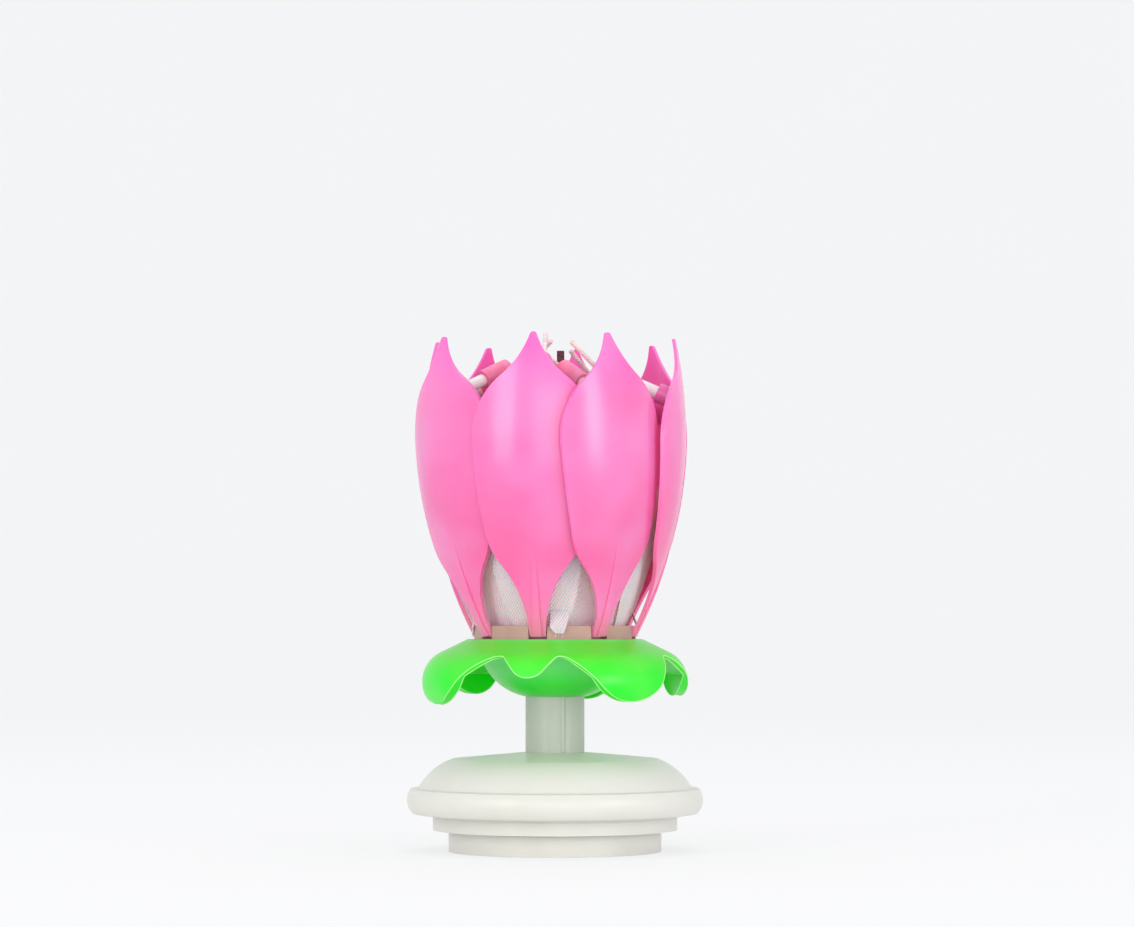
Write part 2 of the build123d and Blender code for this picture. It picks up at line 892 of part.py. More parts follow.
def petal_rib():
    """Midrib on the outer face, highest and widest at the root."""
    def face_point(height, inset):
        return 0, -petal_face_radius(height, inset), height

    foot = petal_root_height
    middle = petal_root_height + rib_length / 2
    top = petal_root_height + rib_length
    outer = ThreePointArc(
        face_point(foot, -rib_height), face_point(middle, -rib_height * rib_middle_share), face_point(top, 0)
    )
    inner = ThreePointArc(*[face_point(height, petal_wall / 2) for height in (top, middle, foot)])
    edges = [outer, Line(outer @ 1, inner @ 0), inner, Line(inner @ 1, outer @ 0)]
    ridge = extrude(make_face(edges), rib_half_width, dir=(1, 0, 0), both=True)
    taper = Polyline(
        (-rib_half_width, 0, foot),
        (rib_half_width, 0, foot),
        (rib_end_half_width, 0, top),
        (-rib_end_half_width, 0, top),
        close=True,
    )
    return ridge & through_petal(make_face(taper))


def petal_root():
    """Knuckle and web that join the blade to its hinge pin."""
    web_top = hinge_height + knuckle_radius
    web_foot = petal_root_height + slot_floor_gap
    inset = petal_wall / 2
    points = (
        (0, -hinge_radius, web_top),
        (0, -petal_face_radius(web_top, inset), web_top),
        (0, -petal_face_radius(web_foot, inset), web_foot),
        (0, -hinge_radius - slot_side_gap, web_foot),
        (0, -hinge_radius, hinge_height - knuckle_radius),
    )
    web = extrude(make_face(Polyline(*points, close=True)), knuckle_width / 2, dir=(1, 0, 0), both=True)
    return web + hinge_cylinder(knuckle_radius, knuckle_width)


petal_blade_form = petal_blade()
petal_root_form = petal_root()
pin_bore = hinge_cylinder(pin_radius + running_gap, knuckle_width + cut_over)


def petal(index):
    blade = petal_blade_form + candle_boss(index)
    body = leant(blade, petal_leans[index]) + petal_root_form - pin_bore
    return around(body, petal_bearing(index))


# Small candles

def on_candle_line(shape, distance, index):
    """Put an upright shape on a candle's line, at a distance from the petal's inner face."""
    seat_height, rise_angle = candle_settings[index][:2]
    seat = Pos(0, -petal_face_radius(seat_height, petal_wall), seat_height)
    return seat * Rot(rise_angle - 90, 0, 0) * Pos(0, 0, distance) * shape


def behind_face(index, offset):
    """Block outside a petal's inner face at the candle's seat, its face moved inwards by an offset."""
    seat_height = candle_settings[index][0]
    slope = math.degrees(math.asin((petal_arc_height - seat_height) / petal_arc_radius))
    reach = post_length
    wall = Box(reach, reach, reach, align=(Align.CENTER, Align.MAX, Align.CENTER))
    face = petal_face_radius(seat_height, petal_wall)
    return Pos(0, offset - face, seat_height) * Rot(slope, 0, 0) * wall


def candle_boss(index):
    """Boss on the petal's inner face, bored for the post."""
    reach = boss_length + boss_sink
    boss = on_candle_line(rod(boss_radius, reach, -boss_sink), 0, index)
    bore = on_candle_line(rod(post_radius + seat_gap, reach + cut_over, -boss_sink), 0, index)
    return boss - behind_face(index, -petal_wall / 2) - (bore - behind_face(index, post_seat_gap / 2))


def candle_post(index):
    """Post whose foot is cut to the slope of the petal's inner face."""
    stub = rod(post_radius, post_length + candle_socket_depth + cut_over, -cut_over)
    return on_candle_line(stub, 0, index) - behind_face(index, post_seat_gap)


def candle():
    """Wax candle with a broken edge on top and a socket for the post."""
    wax = rod(candle_radius, candle_length, 0)
    wax = chamfer(wax.edges().sort_by(Axis.Z)[-1], candle_edge)
    return wax - rod(post_radius + seat_gap, candle_socket_depth + seat_gap, 0)


def wick(index):
    """Wick that stands on the wax and bends up from the candle's line."""
    seat_height, rise_angle, length, wick_rise = candle_settings[index]
    lift = wick_rise - rise_angle
    strand = Rot(lift, 0, 0) * rod(wick_radius, length + wick_radius, -wick_radius)
    below = Box(length, length, length, align=(Align.CENTER, Align.CENTER, Align.MAX))
    return strand - below


def on_petal(shape, index):
    return around(leant(shape, petal_leans[index]), petal_bearing(index))


# Cloth petals

cloth_foot_height = hub_top_height + seat_gap


def cloth_outline():
    """Wide foot, widest below the tip, and a blunt point."""
    shoulder = cloth_foot_height + cloth_height * cloth_shoulder_share
    crown = cloth_foot_height + cloth_height * cloth_crown_share
    top = cloth_foot_height + cloth_height
    flank = ThreePointArc(
        (cloth_root_half_width, 0, cloth_foot_height),
        (cloth_half_width * cloth_flank_width_share, 0, (cloth_foot_height + shoulder) / 2),
        (cloth_half_width, 0, shoulder),
    )
    upper = ThreePointArc(
        (cloth_half_width, 0, shoulder),
        (cloth_half_width * cloth_crown_width_share, 0, crown),
        (cloth_tip_half_width, 0, top),
    )
    return symmetric_outline([flank, upper], Line((cloth_tip_half_width, 0, top), (-cloth_tip_half_width, 0, top)))


def cloth_petals(first, inset):
    """Every second cloth petal, all in one layer."""
    outline = extrude(cloth_outline(), cloth_belly_radius + cut_over, dir=(0, -1, 0))
    sheet = bent_sheet(
        cloth_belly_radius - inset,
        cloth_arc_radius,
        cloth_cup_radius,
        cloth_cup_spread,
        cloth_wall,
        cloth_foot_height - cut_over,
        cloth_foot_height + cloth_height + cut_over,
    )
    form = sheet & outline
    return grouped([around(form, petal_bearing(index)) for index in range(first, petal_count, 2)])


# Fountain

def fountain_tube():
    """Paper tube with a nozzle wall at its mouth and a hole for the fuse."""
    inner = fountain_radius - fountain_wall
    nozzle = fountain_top - fountain_nozzle_depth
    tube = turned(
        profile(
            (fountain_radius, fountain_height),
            (fountain_radius, fountain_top),
            (0, fountain_top),
            (0, nozzle),
            (inner, nozzle),
            (inner, fountain_height),
            (fountain_radius, fountain_height),
        )
    )
    return tube - rod(fuse_radius + seat_gap, fountain_nozzle_depth, nozzle, (fuse_offset, 0))


def fountain_fuse():
    return rod(fuse_radius, fuse_length + fountain_nozzle_depth, fountain_top - fountain_nozzle_depth, (fuse_offset, 0))


# Wires

def wire(points, radii):
    """Round wire along straight runs joined by tangent arcs."""
    path = FilletPolyline(*points, radius=radii) if radii else Polyline(*points)
    start = Plane(origin=path @ 0, z_dir=path % 0)
    return sweep(start * RegularPolygon(wire_radius, wire_sides), path)


wire_top = fountain_top - sensor_length
wire_turn_height = board_top + wire_drop


def sensor_lead(side):
    """Lead from the board up through the stem and beside the fountain to the sensor."""
    x = side * wire_pitch / 2
    board_point = board_offset - board_width / 2 + wire_bend / 2
    points = (
        (x, wire_offset, wire_top),
        (x, wire_offset, wire_turn_height),
        (x, board_point, wire_turn_height),
        (x, board_point, board_top),
    )
    return wire(points, (wire_bend, wire_bend / 2))


def battery_lead(side):
    """Lead from a cell contact's top edge over to the board."""
    contact_y = side * (stack_length / 2 + contact_button_height + contact_wall / 2 + seat_gap)
    top = cell_axis_height + contact_size / 2 + seat_gap
    rise = top + wire_bend
    board_x = board_length / 2 - board_post_radius * (2 - side)
    points = (
        (cell_tray_offset - side * wire_pitch, contact_y, top),
        (cell_tray_offset - side * wire_pitch, contact_y, rise),
        (board_x, board_offset - board_width / 4, rise),
        (board_x, board_offset - board_width / 4, board_top),
    )
    return wire(points, (wire_bend / 2, wire_bend / 2))


def motor_lead(side):
    """Lead from the motor's side, over the fixed gear, to the board's near edge."""
    height = board_floor + board_wall / 2
    spread = side * wire_pitch / 2
    start_x = motor_place[0] + motor_radius + seat_gap
    turn_x = start_x + motor_wire_reach + spread
    y = motor_place[1] - spread
    points = (
        (start_x, y, height),
        (turn_x, y, height),
        (turn_x, board_offset - board_width / 2 - seat_gap, height),
    )
    return wire(points, (wire_bend,))


def flame_sensor():
    place = (0, wire_offset)
    bead = at(place, wire_top + seat_gap) * Cone(
        sensor_radius, sensor_tip_radius, sensor_length, align=(Align.CENTER, Align.CENTER, Align.MIN)
    )
    return bead - rod(fountain_radius + seat_gap, sensor_length + cut_over, wire_top)


# Files, one for each node

candle_form = candle()

save(foot_cup(), "foot_cup")
save(fixed_gear(), "fixed_gear")
save(pivot_screw(), "pivot_screw")
save(base_bottom_cover(), "base_bottom_cover")
save(base_top_shell(), "base_top_shell")
save(grouped([cover_screw(place) for place in screw_places]), "cover_screws")
save(stem_tube(), "stem_tube")
save(cell_holder(), "cell_holder")
save(button_cells(), "button_cells")
save(grouped([cell_contact(side) for side in (-1, 1)]), "cell_contacts")
save(circuit_board(), "circuit_board")
save(melody_chip(), "melody_chip")
save(piezo_disc(), "piezo_disc")
save(motor_can(), "motor_can")
save(motor_shaft(), "motor_shaft")
save(motor_pinion(), "motor_pinion")
save(compound_gear(first_gear_place, first_pinion_phase, sun_height, first_wheel_height), "gear_a")
save(compound_gear(second_gear_place, second_pinion_phase, first_wheel_height, second_wheel_height), "gear_b")
save(
    grouped(
        [
            gear_axle(first_gear_place, first_wheel_height + gear_face),
            gear_axle(second_gear_place, second_wheel_height + gear_face),
        ]
    ),
    "gear_axles",
)
leads = [lead(side) for lead in (sensor_lead, battery_lead, motor_lead) for side in (-1, 1)]
save(grouped(leads), "lead_wires")
save(flame_sensor(), "flame_sensor")
save(calyx(), "calyx")
save(petal_hub(), "petal_hub")
save(grouped([hinge_pin(petal_bearing(index)) for index in range(petal_count)]), "hinge_pins")
save(cloth_petals(0, 0), "cloth_petals_outer")
save(cloth_petals(1, cloth_layer_step), "cloth_petals_inner")
save(fountain_tube(), "fountain_tube")
save(fountain_fuse(), "fountain_fuse")
for index in range(petal_count):
    number = index + 1
    save(petal(index), f"petal_{number}")
    wax = on_candle_line(candle_form, post_length, index)
    strand = on_candle_line(wick(index), post_length + candle_length + seat_gap, index)
    save(on_petal(candle_post(index), index), f"candle_post_{number}")
    save(on_petal(wax, index), f"candle_{number}")
    save(on_petal(strand, index), f"wick_{number}")

# Places that the joints use, in millimetres
for name, place in (("gear_a", first_gear_place), ("gear_b", second_gear_place), ("motor", motor_place)):
    print(f"{name} axis at {place[0]:.4f}, {place[1]:.4f}")
print(f"hinge height {hinge_height:.3f}, radius {hinge_radius:.3f}")
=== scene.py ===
# %% [markdown]
# # A lotus-flower birthday candle
# The object stands on a round base that turns. Eight moulded petals close around a paper
# fountain, and each petal carries a small candle that points to the middle. The solids come
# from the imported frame, which also fixes every place. This notebook adds what the solids
# can't have: finishes, cloth that hangs in folds, and twisted cotton wicks.

# %% Load the frame
import math
import random

import bpy
from mathutils import Matrix, Vector


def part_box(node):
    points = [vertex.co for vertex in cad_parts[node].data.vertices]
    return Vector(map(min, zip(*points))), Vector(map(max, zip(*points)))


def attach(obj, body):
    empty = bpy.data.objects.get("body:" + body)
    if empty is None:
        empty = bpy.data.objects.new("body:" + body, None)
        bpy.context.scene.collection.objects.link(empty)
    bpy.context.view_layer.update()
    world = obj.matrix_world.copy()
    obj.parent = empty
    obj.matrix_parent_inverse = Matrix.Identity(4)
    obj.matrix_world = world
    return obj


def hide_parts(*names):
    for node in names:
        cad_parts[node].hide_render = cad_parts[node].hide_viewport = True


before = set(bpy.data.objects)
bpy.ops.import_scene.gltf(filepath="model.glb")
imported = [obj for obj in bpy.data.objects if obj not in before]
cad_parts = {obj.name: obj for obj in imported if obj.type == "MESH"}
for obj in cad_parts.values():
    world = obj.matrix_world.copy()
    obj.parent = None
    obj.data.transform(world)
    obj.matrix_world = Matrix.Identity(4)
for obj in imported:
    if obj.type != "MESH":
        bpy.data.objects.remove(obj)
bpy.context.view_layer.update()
MM = 0.001


# %% Add an object
def add_object(name, data):
    """Put a mesh, lamp or camera into the scene as an object of its own."""
    made = bpy.data.objects.new(name, data)
    bpy.context.scene.collection.objects.link(made)
    return made


# %% [markdown]
# ## Camera
# The photograph was taken from a little under a metre, level with the green cup, and its
# frame was then raised. A level camera with a vertical shift gives the same view: a tilted
# camera would make the upright stem lean. The lens follows from the width that the frame
# shows at the object.

# %% Camera, in metres
view_width = 0.274
view_distance = 0.875
eye_height = 0.056
frame_middle = 0.0936
side_step = 0.0029
film_width_mm = 36
camera = add_object("camera", bpy.data.cameras.new("camera"))
camera.data.sensor_width = film_width_mm
camera.data.lens = film_width_mm * view_distance / view_width
camera.data.shift_y = (frame_middle - eye_height) / view_width
camera.location = (side_step, -view_distance, eye_height)
camera.rotation_euler = (math.pi / 2, 0, 0)
bpy.context.scene.camera = camera
print("lens", round(camera.data.lens, 1), "mm, shift", round(camera.data.shift_y, 3))

# %% [markdown]
# ## Helpers for nodes and colours
# Materials and Geometry Nodes are both trees of nodes. A single function that adds a node,
# sets its options and fills or links its inputs keeps each tree readable as a list of steps.
# A second one turns the hex colours that one picks from a picture into linear values. Two
# more start a material and lead its colour, gloss and relief to the shader.

# %% Helpers for nodes and colours
def node(tree, kind, settings=None, inputs=None):
    """Add one node, with its settings, and its inputs given as values or as sockets to link."""
    made = tree.nodes.new(kind)
    for name, value in (settings or {}).items():
        setattr(made, name, value)
    for name, value in (inputs or {}).items():
        if isinstance(value, bpy.types.NodeSocket):
            tree.links.new(value, made.inputs[name])
        else:
            made.inputs[name].default_value = value
    return made


def srgb(code):
    """Linear colour of an sRGB hex code."""
    parts = [int(code[i:i + 2], 16) / 255 for i in (0, 2, 4)]
    return [c / 12.92 if c <= 0.04045 else ((c + 0.055) / 1.055) ** 2.4 for c in parts] + [1.0]


def start_material(name, **sockets):
    """New material with a Principled shader; a socket's spaces are written as underscores."""
    material = bpy.data.materials.new(name)
    material.use_nodes = True
    shader = material.node_tree.nodes["Principled BSDF"]
    for key, value in sockets.items():
        shader.inputs[key.replace("_", " ")].default_value = value
    return material, material.node_tree, shader


def lead_to(shader, **sockets):
    """Link sockets to a shader's inputs; their spaces are written as underscores too."""
    for key, socket in sockets.items():
        shader.id_data.links.new(socket, shader.inputs[key.replace("_", " ")])


# the sockets of a Mix node that mixes colours are told apart by number
FACTOR, COLOUR_A, COLOUR_B, MIXED = 0, 6, 7, 2
RGBA = {"data_type": "RGBA"}
SMOOTH = {"interpolation_type": "SMOOTHSTEP"}
finishes = {}
print("white is", [round(c, 2) for c in srgb("ffffff")])

# %% [markdown]
# ## What several finishes share
# No real surface has one colour: a second one shows through in clouds, whose size differs
# from finish to finish. Most also have a fine grain, from the tool or from fibres. The last
# helper splits a position and measures how far it is from the upright middle line.

# %% Clouds, grain and reach
def clouded(tree, place, scale, detail, low, high, colour, cloud_colour, most=1.0):
    """Colour that gives way to a second one in clouds, and the noise that places them."""
    clouds = node(tree, "ShaderNodeTexNoise", inputs={
        "Vector": place, "Scale": scale, "Detail": detail}).outputs["Fac"]
    share = node(tree, "ShaderNodeMapRange", inputs={
        "Value": clouds, "From Min": low, "From Max": high, "To Max": most}).outputs["Result"]
    return node(tree, "ShaderNodeMix", RGBA, {
        FACTOR: share, COLOUR_A: colour, COLOUR_B: srgb(cloud_colour)}).outputs[MIXED], clouds


def grained(tree, place, scale, strength, depth_mm):
    """Normal of a surface with a fine grain."""
    grain = node(tree, "ShaderNodeTexNoise", inputs={
        "Vector": place, "Scale": scale, "Detail": 2.0}).outputs["Fac"]
    return node(tree, "ShaderNodeBump", inputs={
        "Height": grain, "Strength": strength, "Distance": depth_mm * MM}).outputs["Normal"]


def axes_and_reach(tree, position):
    axes = node(tree, "ShaderNodeSeparateXYZ", inputs={"Vector": position}).outputs
    flat = node(tree, "ShaderNodeCombineXYZ", inputs={"X": axes["X"], "Y": axes["Y"]})
    reach = node(tree, "ShaderNodeVectorMath", {"operation": "LENGTH"}, {
        0: flat.outputs["Vector"]})
    return axes, reach.outputs["Value"]


# %% [markdown]
# ## Petals: pink polyethylene
# The petals are moulded in one shot from soft pink polyethylene. It is waxy and lets light
# through, so the thick root looks redder and the thin tip looks cooler. Height drives that
# change of colour. Faint streaks run along each petal, where the melt flowed from the root,
# and they show mostly in the gloss.

# %% Pink petals
# lowest colour, then the heights in millimetres between which each further one takes over
petal_root_colour = "ff84a8"
petal_fades = ((52, 64, "ff66a2"), (68, 96, "ff74b6"), (104, 122, "ff6cc0"))


def pink_petals():
    material, tree, shader = start_material(
        "moulded_pink_polyethylene", IOR=1.51, Coat_Weight=0.2, Coat_Roughness=0.2,
        Subsurface_Weight=0.6, Subsurface_Scale=0.0025, Subsurface_Radius=(1.0, 0.3, 0.5))
    place = node(tree, "ShaderNodeTexCoord").outputs["Object"]
    height = node(tree, "ShaderNodeSeparateXYZ", inputs={"Vector": place}).outputs["Z"]
    colour = srgb(petal_root_colour)
    for low, high, code in petal_fades:
        share = node(tree, "ShaderNodeMapRange", SMOOTH, {
            "Value": height, "From Min": low * MM, "From Max": high * MM}).outputs["Result"]
        colour = node(tree, "ShaderNodeMix", RGBA, {
            FACTOR: share, COLOUR_A: colour, COLOUR_B: srgb(code)}).outputs[MIXED]
    # clouds about 18 mm across, where the colour of the melt isn't even
    tinted, _ = clouded(tree, place, 55.0, 1.0, 0.42, 0.72, colour, "ff9cd8", most=0.38)
    # flow streaks: 3 mm wide and about 30 mm long
    stretched = node(tree, "ShaderNodeMapping", inputs={
        "Vector": place, "Scale": (330.0, 330.0, 33.0)}).outputs["Vector"]
    streaks = node(tree, "ShaderNodeTexNoise", inputs={
        "Vector": stretched, "Scale": 1.0, "Detail": 0.0}).outputs["Fac"]
    gloss = node(tree, "ShaderNodeMapRange", inputs={
        "Value": streaks, "From Min": 0.3, "From Max": 0.7,
        "To Min": 0.19, "To Max": 0.265}).outputs["Result"]
    # grain of the spark-eroded mould: 0.8 mm, drawn coarser than the real one so that it shows
    relief = grained(tree, place, 1250.0, 0.12, 0.06)
    lead_to(shader, Base_Color=tinted, Roughness=gloss, Normal=relief)
    return material


finishes["pink_plastic"] = pink_petals()
print("made", finishes["pink_plastic"].name)

# %% [markdown]
# ## Calyx: green polyethylene
# The cup and its sepals are one moulding in translucent apple green. Its top band lies
# under the pink petals, and the light that comes through them is painted in: the band is
# yellower and paler. The curling sepals look bright. The bowl behind them gets painted shade,
# a deeper green, because light reaches it only through the wall. Distance from the axis and
# height place these three zones.

# %% Green calyx
# millimetres between which bowl changes to sepal, a sepal's low part to its top, and the
# bowl's underside to its upper wall
sepal_reach, sepal_heights, bowl_heights = (19.5, 23.5), (40.5, 51.2), (38.5, 46.5)


def green_calyx():
    material, tree, shader = start_material(
        "moulded_green_polyethylene", IOR=1.51, Coat_Weight=0.1, Coat_Roughness=0.25,
        Subsurface_Weight=0.35, Subsurface_Scale=0.002, Subsurface_Radius=(0.45, 1.0, 0.4))
    place = node(tree, "ShaderNodeTexCoord").outputs["Object"]
    axes, reach = axes_and_reach(tree, place)
    sepal_share, top_share, wall_share = [
        node(tree, "ShaderNodeMapRange", SMOOTH, {
            "Value": value, "From Min": low * MM, "From Max": high * MM}).outputs["Result"]
        for value, (low, high) in (
            (reach, sepal_reach), (axes["Z"], sepal_heights), (axes["Z"], bowl_heights))]
    # painted light: the top band under the pink petals is made yellower and paler
    sepals = node(tree, "ShaderNodeMix", RGBA, {
        FACTOR: top_share, COLOUR_A: srgb("08ec14"), COLOUR_B: srgb("56e01c")}).outputs[MIXED]
    # painted shade: the bowl's underside is a deeper green than its upper wall
    bowl = node(tree, "ShaderNodeMix", RGBA, {
        FACTOR: wall_share, COLOUR_A: srgb("00e41c"), COLOUR_B: srgb("6cf07c")}).outputs[MIXED]
    coloured = node(tree, "ShaderNodeMix", RGBA, {
        FACTOR: sepal_share, COLOUR_A: bowl, COLOUR_B: sepals}).outputs[MIXED]
    # clouds about 9 mm across
    tinted, clouds = clouded(tree, place, 110.0, 3.0, 0.4, 0.75, coloured, "98f56a", most=0.18)
    gloss = node(tree, "ShaderNodeMapRange", inputs={
        "Value": clouds, "From Min": 0.3, "From Max": 0.7,
        "To Min": 0.3, "To Max": 0.44}).outputs["Result"]
    # grain of the mould, about 1.1 mm
    relief = grained(tree, place, 900.0, 0.15, 0.08)
    lead_to(shader, Base_Color=tinted, Roughness=gloss, Normal=relief)
    return material


finishes["green_plastic"] = green_calyx()
print("made", finishes["green_plastic"].name)

# %% [markdown]
# ## Plain mouldings
# The base, the stem, the hub and the small posts are hard plastics that differ in colour,
# gloss and depth. One function makes them all: a base colour, a second one that clouds it,
# a fine grain from the tool's surface, and gloss that varies a little with handling.

# %% Hard plastics
def moulding(name, colour, cloud_colour, gloss, cloud_size_mm=9.0, grain_mm=0.5,
             grain_depth_mm=0.02, depth_mm=0.0):
    material, tree, shader = start_material(name, IOR=1.5)
    if depth_mm:
        shader.inputs["Subsurface Weight"].default_value = 0.3
        shader.inputs["Subsurface Scale"].default_value = depth_mm * MM
        shader.inputs["Subsurface Radius"].default_value = (1.0, 0.9, 0.8)
    place = node(tree, "ShaderNodeTexCoord").outputs["Object"]
    tinted, clouds = clouded(
        tree, place, 1.0 / (cloud_size_mm * MM), 3.0, 0.35, 0.7, srgb(colour), cloud_colour)
    relief = grained(tree, place, 1.0 / (grain_mm * MM), 0.3, grain_depth_mm)
    rough = node(tree, "ShaderNodeMapRange", inputs={
        "Value": clouds, "From Min": 0.3, "From Max": 0.7,
        "To Min": gloss - 0.05, "To Max": gloss + 0.06}).outputs["Result"]
    lead_to(shader, Base_Color=tinted, Roughness=rough, Normal=relief)
    return material


# polystyrene in a polished tool: creamy white, and clearly glossy
finishes["white_shell"] = moulding(
    "polished_white_polystyrene", "dedcd3", "e2e0d9", 0.34,
    cloud_size_mm=20.0, grain_depth_mm=0.006, depth_mm=1.2)
# natural polyethylene tube: greyish, with light inside the wall
finishes["stem_plastic"] = moulding(
    "natural_polyethylene_tube", "bfbfb6", "c5c1bc", 0.35,
    cloud_size_mm=16.0, grain_depth_mm=0.008, depth_mm=2.5)
finishes["cream_plastic"] = moulding(
    "moulded_rose_polyethylene", "bb9185", "c49d90", 0.42, depth_mm=1.5)
finishes["white_post_plastic"] = moulding("white_polystyrene_post", "fbfbf8", "f0f1f0", 0.18)
finishes["gear_plastic"] = moulding("white_acetal_gear", "ece9df", "f6f4ec", 0.4)
finishes["black_plastic"] = moulding("black_abs_holder", "1d1d1f", "29292c", 0.45)
finishes["chip_resin"] = moulding(
    "black_epoxy_drop", "101013", "1b1a1e", 0.2, grain_depth_mm=0.01)
finishes["wire_jacket"] = moulding("red_pvc_jacket", "b3231f", "c63a31", 0.4)
print("mouldings:", len(finishes))

# %% [markdown]
# ## Wax
# The small candles are dyed paraffin. Wax scatters light deep below its skin, so its
# subsurface scale is as large as that of the petals, its skin is only half glossy, and
# drawing and handling leave soft dents.

# %% Dyed wax
def dyed_wax():
    material, tree, shader = start_material(
        "dyed_paraffin_wax", Roughness=0.4, IOR=1.44,
        Subsurface_Weight=0.45, Subsurface_Scale=0.0025, Subsurface_Radius=(1.0, 0.4, 0.5))
    place = node(tree, "ShaderNodeTexCoord").outputs["Object"]
    # dents about 2.4 mm across
    tinted, dents = clouded(tree, place, 420.0, 2.0, 0.4, 0.75, srgb("ff7eaa"), "ff98be")
    relief = node(tree, "ShaderNodeBump", inputs={
        "Height": dents, "Strength": 0.5, "Distance": 0.15 * MM}).outputs["Normal"]
    lead_to(shader, Base_Color=tinted, Normal=relief)
    return material


finishes["wax"] = dyed_wax()
print("made", finishes["wax"].name)

# %% [markdown]
# ## Paper
# The fountain is a rolled paper tube and the fuse a strip of dark paper twisted around its
# powder. Both show a winding: bands that climb as they go round. The angle around the axis
# plus a share of the height, repeated, gives that spiral without any geometry.

# %% Wound papers
def wound_paper(name, colour, seam_colour, pitch_mm, middle_mm):
    """Paper wound around an upright line; middle_mm is how far that line stands off along X."""
    material, tree, shader = start_material(name, Roughness=0.8, IOR=1.47)
    place = node(tree, "ShaderNodeTexCoord").outputs["Object"]
    centred = node(tree, "ShaderNodeMapping", inputs={
        "Vector": place, "Location": (-middle_mm * MM, 0.0, 0.0)}).outputs["Vector"]
    axes = node(tree, "ShaderNodeSeparateXYZ", inputs={"Vector": centred}).outputs
    angle = node(tree, "ShaderNodeMath", {"operation": "ARCTAN2"}, {0: axes["Y"], 1: axes["X"]})
    share = node(tree, "ShaderNodeMath", {"operation": "MULTIPLY"}, {
        0: angle.outputs[0], 1: 1 / (2 * math.pi)})
    climb = node(tree, "ShaderNodeMath", {"operation": "MULTIPLY_ADD"}, {
        0: axes["Z"], 1: 1.0 / (pitch_mm * MM), 2: share.outputs[0]})
    winding = node(tree, "ShaderNodeMath", {"operation": "FRACT"}, {0: climb.outputs[0]})
    seam = node(tree, "ShaderNodeMapRange", SMOOTH, {
        "Value": winding.outputs[0], "From Min": 0.0, "From Max": 0.16}).outputs["Result"]
    fibres = node(tree, "ShaderNodeTexNoise", inputs={
        "Vector": place, "Scale": 1500.0, "Detail": 4.0}).outputs["Fac"]
    coloured = node(tree, "ShaderNodeMix", RGBA, {
        FACTOR: seam, COLOUR_A: srgb(seam_colour), COLOUR_B: srgb(colour)}).outputs[MIXED]
    surface = node(tree, "ShaderNodeMath", {"operation": "MULTIPLY_ADD"}, {
        0: fibres, 1: 0.35, 2: seam})
    relief = node(tree, "ShaderNodeBump", inputs={
        "Height": surface.outputs[0], "Strength": 0.6, "Distance": 0.12 * MM}).outputs["Normal"]
    lead_to(shader, Base_Color=coloured, Normal=relief)
    return material


finishes["fountain_paper"] = wound_paper("rolled_pink_paper", "f3b9cf", "d892ad", 18.0, 0.0)
finishes["fuse_paper"] = wound_paper("twisted_fuse_paper", "653942", "40202a", 2.2, 1.35)
print("papers wound")

# %% [markdown]
# ## Metals, board and the rest of the inside
# Nobody sees the drive until the base is opened, yet each of these pieces has its own
# finish: turned steel, nickel on the cells, brass, a glass-fibre board. The metals differ in
# colour and in how their surface was worked, so they share one function with fine scratches.

# %% Metals
def worked_metal(name, colour, gloss, scratch_mm, around_axis=True):
    material, tree, shader = start_material(name, Metallic=1.0)
    place = node(tree, "ShaderNodeTexCoord").outputs["Object"]
    # a scratch is this many times longer than wide, and runs across the dense direction
    stretch = 14
    dense = (1.0, 1.0, stretch) if around_axis else (stretch, 1.0, 1.0)
    stretched = node(tree, "ShaderNodeMapping", inputs={
        "Vector": place, "Scale": [s / (stretch * scratch_mm * MM) for s in dense]})
    scratches = node(tree, "ShaderNodeTexNoise", inputs={
        "Vector": stretched.outputs["Vector"], "Scale": 1.0, "Detail": 3.0}).outputs["Fac"]
    rough = node(tree, "ShaderNodeMapRange", inputs={
        "Value": scratches, "From Min": 0.3, "From Max": 0.7,
        "To Min": gloss - 0.08, "To Max": gloss + 0.1}).outputs["Result"]
    shade = node(tree, "ShaderNodeMix", RGBA, {
        FACTOR: scratches, COLOUR_A: srgb(colour),
        COLOUR_B: [c * 0.86 for c in srgb(colour)[:3]] + [1.0]}).outputs[MIXED]
    relief = node(tree, "ShaderNodeBump", inputs={
        "Height": scratches, "Strength": 0.2, "Distance": 0.03 * MM}).outputs["Normal"]
    lead_to(shader, Base_Color=shade, Roughness=rough, Normal=relief)
    return material


finishes["steel"] = worked_metal("turned_mild_steel", "b9bbbd", 0.38, 0.12)
finishes["motor_steel"] = worked_metal("zinc_plated_motor_can", "c3c5c6", 0.38, 0.3)
for slot_name, name, colour, gloss, scratch_mm in (
    ("cell_steel", "nickel_plated_cell", "cfcdc7", 0.37, 0.2),
    ("contact_brass", "stamped_brass", "c8a45b", 0.38, 0.2),
    ("piezo_brass", "rolled_brass_disc", "c9a968", 0.37, 0.25),
):
    finishes[slot_name] = worked_metal(name, colour, gloss, scratch_mm, around_axis=False)
finishes["board_resin"] = moulding(
    "green_glass_fibre_board", "1f6b3a", "2c7d48", 0.35, 2.0, 0.4, 0.03)
finishes["sensor_glass"] = moulding(
    "clear_epoxy_bead", "d9e3e6", "c9d6da", 0.12, 3.0, 0.6, 0.01, depth_mm=1.0)
print("finishes so far:", sorted(finishes))

# %% [markdown]
# ## Dress the solids
# Each solid came in with a plain material that carries the name of its slot. The loop puts
# the finish with that name in its place. The meshes themselves stay as they are.

# %% Dress the solids
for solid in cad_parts.values():
    for place in solid.material_slots:
        slot_name = place.material.name.split(".")[0]
        if slot_name in finishes:
            place.material = finishes[slot_name]
worn = {s.material.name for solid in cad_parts.values() for s in solid.material_slots}
print("still plain:", sorted(worn - {finish.name for finish in finishes.values()}))

